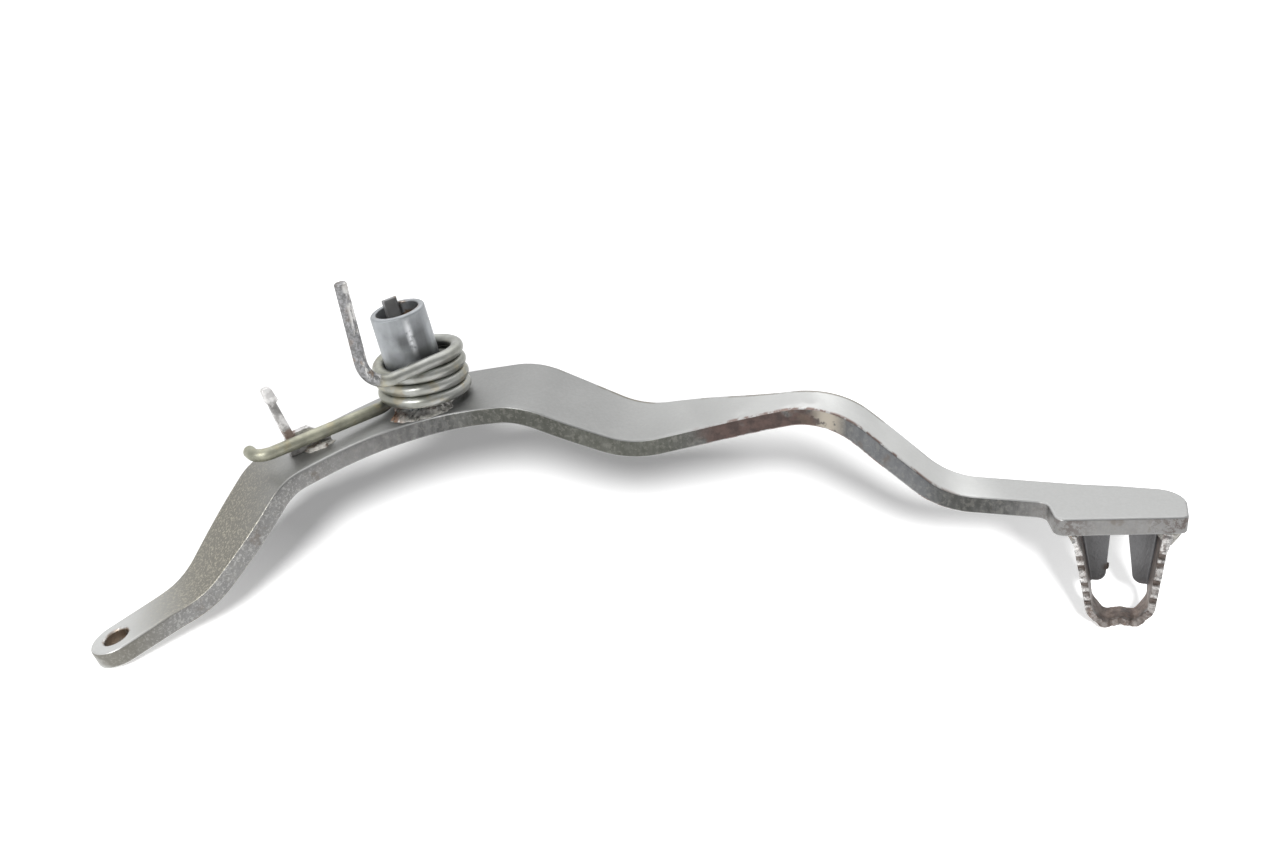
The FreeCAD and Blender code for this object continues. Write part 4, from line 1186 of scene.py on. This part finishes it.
class PEDAL_OT_pad(bpy.types.Operator):
    """Folded foot pad: a toothed strip carried round a tapering U, with its far edges turned in"""

    bl_idname = "pedal.pad"
    bl_label = "Foot pad"

    def nicks(self, wide, drop):
        """How far the worn near edge is nicked at a place round the U, from 0 to 1."""
        legs = sum(np.where(wide < 0, a, b) * band(drop, at - 0.85, at + 0.85, 0.5) for at, a, b in LEG_NICKS)
        floor = sum(band(wide, at - 0.5, at + 0.5, 0.7) for at in FLOOR_NICKS)
        return np.where(drop > PAD_FLOOR_FROM, 0.4 * floor, legs)

    def section(self, half):
        """Loop round the strip's rounded rectangle: share of the way to the far edge, inset and rise."""
        turn = np.linspace(0, math.pi / 2, 4)
        curl = PAD_EDGE * (1 - np.cos(turn))
        lift = half - PAD_EDGE + PAD_EDGE * np.sin(turn)
        share = np.concatenate([np.zeros(4), np.linspace(0, 1, 16)[1:-1], np.ones(4)])
        inset = np.concatenate([curl, np.zeros(14), -curl[::-1]])
        rise = np.concatenate([lift, np.full(14, half), lift[::-1]])
        # The other side of the sheet goes back from the far edge to the near one
        return (np.concatenate([v, sign * v[::-1]]) for v, sign in ((share, 1), (inset, 1), (rise, -1)))

    def strip(self, sheet, plate, tooth):
        """Rounded rectangle carried round the U, sheet thick, from the nicked edge to the far edge."""
        left = [(-w, h) for w, h in PAD_LINE]
        line = even(rounded_path(left + PAD_LINE[-2::-1], PAD_BENDS + PAD_BENDS[-2::-1], 0.15), 560)
        run = np.gradient(line, axis=0)
        run /= np.linalg.norm(run, axis=1)[:, None]
        normal = np.stack([-run[:, 1], run[:, 0]], 1)
        wide, drop = line[:, 0], line[:, 1]
        edge = pad_near(PAD_CENTRE + wide + PAD_LEAN * drop)
        worn = 0.16 * ripple(
            (1, drop * 2.1 + wide), (0.7, drop * 3.7 - wide * 1.3), (0.6, wide * 5.1 + drop * 1.7)
        )
        near = edge + self.nicks(wide, drop) * tooth * 0.75 + worn
        # The far edge meets the fold down to the flange's end, then follows the floor's hollow
        aside = np.clip(wide - PAD_HOLLOW_AT, -PAD_HOLLOW_HALF, PAD_HOLLOW_HALF)
        hollow = PAD_BRIDGE_DEPTH + PAD_SCALLOP - np.sqrt(PAD_SCALLOP**2 - aside**2)
        fold = PAD_FAR - sheet / 2 - FOLD + FOLD_LAP
        low = fade(drop - FLANGE_DROP + 0.3, 0.6)
        lower = fade(drop - FLANGE_DROP - 0.6, 2.2)
        lower = lower * lower * (3 - 2 * lower)
        open_far = PAD_FAR + (np.minimum(PAD_FAR, edge + hollow) - PAD_FAR) * lower
        rough = 0.07 * ripple((1, wide * 2.3), (0.6, wide * 4.9 + 1.0)) * lower
        far = fold * (1 - low) + open_far * low + rough
        share, inset, rise = self.section(sheet / 2)
        # The legs' near edges are hammered wider just under the plate
        outer = np.where(rise * wide[:, None] > 0, 1.0, 0.0)
        swell = outer * np.clip(1 - drop / PAD_SWELL_DROP, 0, 1)[:, None] * (1 - share) * PAD_SWELL
        d = near[:, None] * (1 - share) + far[:, None] * share + inset
        w = wide[:, None] + normal[:, :1] * rise + np.sign(wide)[:, None] * swell
        h = drop[:, None] + normal[:, 1:] * rise
        return pad_point(w, np.maximum(h, 0.0), d, plate), capped(*d.shape)

    def flange(self, side, sheet, plate):
        """A folded edge, carried down a leg: its far end turned through a quarter circle and run inwards."""
        half = sheet / 2 - 0.01
        straight = FLANGE_DROP - FLANGE_ROUND
        tip = straight + FLANGE_ROUND * np.sin(np.linspace(0, math.pi / 2, 16))
        drop = np.concatenate([np.linspace(0, straight, 30), tip[1:]])
        leg = pad_leg(drop)
        inner = FLANGE_GAP_TOP + (FLANGE_GAP_LOW - FLANGE_GAP_TOP) * drop / FLANGE_DROP
        into = fade(drop - FLANGE_DROP + FLANGE_ROUND, FLANGE_ROUND)
        inner = inner + FLANGE_ROUND * (1 - np.sqrt(np.maximum(1 - into**2, 0)))
        # Middle line in plan: up the leg, round the bend, then a run in that is scaled to the inner edge
        turn = np.linspace(0, math.pi / 2, 10)
        bend = PAD_FAR - sheet / 2 - FOLD
        out = np.concatenate([[0.0], FOLD * (1 - np.cos(turn)), np.full(10, FOLD)])
        far = np.concatenate([[bend - FOLD_LAP], bend + FOLD * np.sin(turn), np.full(10, bend + FOLD)])
        share = np.concatenate([np.zeros(11), np.linspace(0, 1, 11)[1:]])
        nx = np.concatenate([[1.0], np.cos(turn), np.zeros(10)])
        ny = np.concatenate([[0.0], np.sin(turn), np.ones(10)])
        at = leg[:, None] - out - share * (leg - FOLD - inner)[:, None]
        w = np.concatenate([at + nx * half, (at - nx * half)[:, ::-1]], 1)
        d = np.concatenate([far + ny * half, (far - ny * half)[::-1]])
        return pad_point(side * w, drop[:, None], np.broadcast_to(d, w.shape), plate), capped(*w.shape)

    def execute(self, context):
        sizes, looks = context.scene.pedal_sizes, context.scene.pedal_looks
        sheet, plate, tooth = sizes.sheet / MM, sizes.plate / MM, sizes.tooth / MM
        spot = pad_point(*BURR_AT, PAD_FAR - sheet / 2, plate)
        burr = bead(spot, TOE_AXES, BURR_SIZE, 2.4)
        flanges = [self.flange(side, sheet, plate) for side in (-1, 1)]
        pad = piece("foot_pad_strip", [self.strip(sheet, plate, tooth), *flanges, burr], 38)
        local = points_of(pad) - TOE_ORIGIN
        along, far, drop = local @ TOE_ALONG, local @ TOE_FAR, local @ TOE_DOWN - plate
        behind = far - pad_near(along)
        wide = along - PAD_CENTRE - PAD_LEAN * drop
        within = fade(pad_leg(drop) - np.abs(wide), 0.5) * fade(PAD_FAR - sheet - 0.6 - far, 1.0)
        floor = fade(drop - 23.5, 6.0)
        # The nick mask: painted shade in the nicks with grime, darker along the floor's near edge, and soot
        # round the burr
        worn = np.minimum(1.2 * self.nicks(wide, drop) + 0.5 * floor, 1)
        sooty = np.clip(2.2 - np.linalg.norm(local + TOE_ORIGIN - spot, axis=1), 0, 1)
        paint(
            pad,
            rusty=np.clip(0.7 * within + floor, 0, 1),
            bare=fade(1.6 - behind, 0.7) * (1 - 0.45 * floor),
            nick=np.maximum(sooty, fade(2.1 - behind, 0.5) * worn),
        )
        dress(pad, sheet_finish(looks), "pedal", "sheet_steel", "foot_pad")
        return {"FINISHED"}


class PEDAL_OT_welds(bpy.types.Operator):
    """Weld beads: the run round the tube's foot, the hook's bead and the two at the pad's legs"""

    bl_idname = "pedal.welds"
    bl_label = "Weld beads"

    def ring(self, outer):
        """Bead round the tube: a section from the seat over the crown to the wall, changing as it turns."""
        count, steps = 420, 12
        turn = np.linspace(-math.pi, math.pi, count, endpoint=False)[:, None]
        begin, end = WELD_HEAVY
        heavy = 1 / (1 + np.exp(-(turn - begin) / WELD_FADE)) / (1 + np.exp((turn - end) / WELD_FADE))
        across = np.linspace(0, 1, steps)[None, :]
        edge = ripple((0.10, turn * 19), (0.07, turn * 31 + 1.3))
        lumps = ripple(
            (0.10, turn * 23 + across * 5),
            (0.09, turn * 37 - across * 9 + 1.3),
            (0.06, turn * 61 + across * 15),
        )
        reach = WELD_REACH + WELD_REACH_MORE * heavy + (0.15 + 0.6 * heavy) * edge * 3
        crown = WELD_CROWN - WELD_CROWN_LESS * heavy + lumps * 1.1
        bulge = np.sin(across * math.pi / 2) ** 0.8
        radius = outer + reach * (1 - across)
        height = crown * bulge * (1 + 0.10 * np.sin(turn * 53 + across * 7) * np.sin(across * math.pi))
        radius = np.concatenate([radius, np.full((count, 1), outer - 0.05)], 1)
        height = np.concatenate([height, np.zeros((count, 1))], 1)
        points = np.stack([radius * np.cos(turn), radius * np.sin(turn), height], -1)
        return points, quads(count, steps + 1, True, True)

    def pad_bead(self, side, seed, size, plate):
        """A bead at a pad's leg: flattened where it meets the plate, narrower as it runs down."""
        along = PAD_CENTRE + side * PAD_BEAD_AT
        far = float(pad_near(along)) + 0.3 + size[1]
        centre = TOE_ORIGIN + TOE_ALONG * along + TOE_FAR * far + TOE_DOWN * (plate + 0.2)
        points, faces = bead(centre, TOE_AXES, size, seed, 0.6)
        low = (points - centre) @ TOE_DOWN
        points -= np.where(low < 0, 0.8 * low, 0.0)[:, None] * TOE_DOWN
        out = (points - centre) @ TOE_ALONG * 0.6 * np.clip(low / size[2], 0, 1)
        return points - out[:, None] * TOE_ALONG, faces

    def execute(self, context):
        sizes, looks = context.scene.pedal_sizes, context.scene.pedal_looks
        run = weld_finish("weld_run_metal", looks.weld_colour, 0.0, -0.011)
        pale = weld_finish("weld_bead_metal", looks.bead_colour, 1.0)
        ring = piece("tube_weld_bead", [self.ring(sizes.tube / MM / 2)], 60)
        dress(ring, run, "pedal", "weld_metal", "tube_weld")
        centre = HOOK_FOOT + HOOK_DIR * HOOK_BEAD_AT[0] + HOOK_OUT * HOOK_BEAD_AT[1]
        hook = piece("hook_weld_bead", [bead(centre, HOOK_AXES, HOOK_BEAD_SIZE, 0.7)], 60)
        dress(hook, pale, "pedal", "weld_metal", "hook_weld")
        for name, side, seed, size in PAD_BEADS:
            patch = self.pad_bead(side, seed, size, sizes.plate / MM)
            lump = piece("pad_weld_" + name + "_bead", [patch], 60)
            dress(lump, pale, "pedal", "weld_metal", "pad_weld_" + name)
        return {"FINISHED"}


class PEDAL_OT_stage(bpy.types.Operator):
    """Pale bench, soft light and the camera"""

    bl_idname = "pedal.stage"
    bl_label = "Stage"

    def bench(self, colour):
        """A square top that the camera sees glow, less so beside the pedal, and that metal mirrors dimly."""
        r, low = BENCH_HALF, CAD_BOX[0][2]
        mesh = bpy.data.meshes.new("bench")
        mesh.from_pydata([(-r, -r, low), (r, -r, low), (r, r, low), (-r, r, low)], [], [(0, 1, 2, 3)])
        floor = bpy.data.objects.new("bench", mesh)
        bpy.context.scene.collection.objects.link(floor)
        n = new_material("pale_bench")
        rays = n.add("LightPath").outputs
        ends = {0: n.place["Object"], 1: (*GLOW_CENTRE, low)}
        away = n.add("VectorMath", ends, operation="DISTANCE").outputs["Value"]
        seen = n.times(rays["Is Camera Ray"], n.ramp(away, 0.09, 0.27, 0.1, 0.62, "LINEAR"))
        glow = n.math("MULTIPLY_ADD", rays["Is Glossy Ray"], 0.27, seen)
        n.wire(n.shader, {"Base Color": (*colour, 1.0), "Roughness": 0.9, "Specular IOR Level": 0.0})
        n.wire(n.shader, {"Emission Color": WHITE, "Emission Strength": glow})
        mesh.materials.append(n.owner)
        return floor

    def room(self):
        """White for the camera; paler towards the back for mirrored rays, and dim for all other light."""
        world = bpy.data.worlds.new("studio")
        bpy.context.scene.world = world
        n = Nodes(world, "BACKGROUND")
        rays = n.add("LightPath").outputs
        walls = n.ramp(n.axis("Y", "Generated"), -0.9, 0.5, 0.3, 1.0, "LINEAR")
        light = n.between(rays["Is Glossy Ray"], n.times(walls, 0.36), walls)
        seen = n.math("MAXIMUM", rays["Is Camera Ray"], rays["Is Transmission Ray"])
        n.wire(n.shader, {"Color": WHITE, "Strength": n.between(seen, light, 1.0)})

    def lamp(self, kind, name, place, aim, lit, **settings):
        """A soft light pointed at a place, with the collection that says what it lights."""
        data = bpy.data.lights.new(name, kind)
        for setting, value in settings.items():
            setattr(data, setting, value)
        obj = bpy.data.objects.new(name, data)
        obj.light_linking.receiver_collection = lit
        bpy.context.scene.collection.objects.link(obj)
        back = direction(np.asarray(place, float) - np.asarray(aim, float))
        side = direction(np.cross((0.0, 1.0, 0.05), back))
        turn = Matrix(np.stack([side, np.cross(back, side), back], 1).tolist()).to_4x4()
        obj.matrix_world = Matrix.Translation(place) @ turn

    def camera(self):
        """The photograph's place, direction and angle of view."""
        data = bpy.data.cameras.new("camera")
        data.sensor_fit = "HORIZONTAL"
        data.sensor_width = SENSOR
        data.lens = SENSOR * FOCAL / PICTURE_WIDTH
        data.clip_end = 20.0
        camera = bpy.data.objects.new("camera", data)
        bpy.context.scene.collection.objects.link(camera)
        turn = Matrix(CAMERA_AXES.T.tolist()).to_4x4()
        camera.matrix_world = Matrix.Translation(CAMERA_PLACE) @ turn
        bpy.context.scene.camera = camera

    def execute(self, context):
        floor = self.bench(context.scene.pedal_looks.floor_colour)
        self.room()
        # The room's lamps leave the bench alone; the key light falls on the bench and throws the shadow there
        on_bench, off_bench = (bpy.data.collections.new(name) for name in ("on_bench", "off_bench"))
        for lit in (on_bench, off_bench):
            lit.objects.link(floor)
        off_bench.collection_objects[0].light_linking.link_state = "EXCLUDE"
        over, front, key = (0.12, 0.35, 1.0), (-0.9, -1.0, 0.6), (-0.18, -0.92, 0.46)
        self.lamp("AREA", "over", over, (0.06, 0.0, 0.0), off_bench, size=1.5, energy=7.0)
        self.lamp("AREA", "front", front, (0.03, 0.0, -0.04), off_bench, size=0.36, energy=14.0)
        self.lamp("SUN", "key", key, (0.0, 0.0, 0.0), on_bench, angle=math.radians(7.5), energy=6.6)
        self.camera()
        context.scene.view_settings.view_transform = "Standard"
        return {"FINISHED"}


class PEDAL_PT_panel(bpy.types.Panel):
    """Sizes, colours and the pieces"""

    bl_idname = "PEDAL_PT_panel"
    bl_label = "Brake pedal"
    bl_space_type = "VIEW_3D"
    bl_region_type = "UI"
    bl_category = "Pedal"

    def draw(self, context):
        for group in (context.scene.pedal_sizes, context.scene.pedal_looks):
            box = self.layout.box()
            for name in group.__annotations__:
                box.prop(group, name)
        for operator in OPERATORS:
            self.layout.operator(operator.bl_idname)


OPERATORS = (
    PEDAL_OT_arm,
    PEDAL_OT_tube,
    PEDAL_OT_spring,
    PEDAL_OT_hook,
    PEDAL_OT_pad,
    PEDAL_OT_welds,
    PEDAL_OT_stage,
)
CLASSES = (PedalSizes, PedalLooks, *OPERATORS, PEDAL_PT_panel)


def register():
    for cls in CLASSES:
        bpy.utils.register_class(cls)
    bpy.types.Scene.pedal_sizes = PointerProperty(type=PedalSizes)
    bpy.types.Scene.pedal_looks = PointerProperty(type=PedalLooks)


def unregister():
    del bpy.types.Scene.pedal_looks
    del bpy.types.Scene.pedal_sizes
    for cls in reversed(CLASSES):
        bpy.utils.unregister_class(cls)


def main():
    register()
    bpy.ops.pedal.arm()
    bpy.ops.pedal.tube()
    bpy.ops.pedal.spring()
    bpy.ops.pedal.hook()
    bpy.ops.pedal.pad()
    bpy.ops.pedal.welds()
    bpy.ops.pedal.stage()


if __name__ == "__main__":
    main()
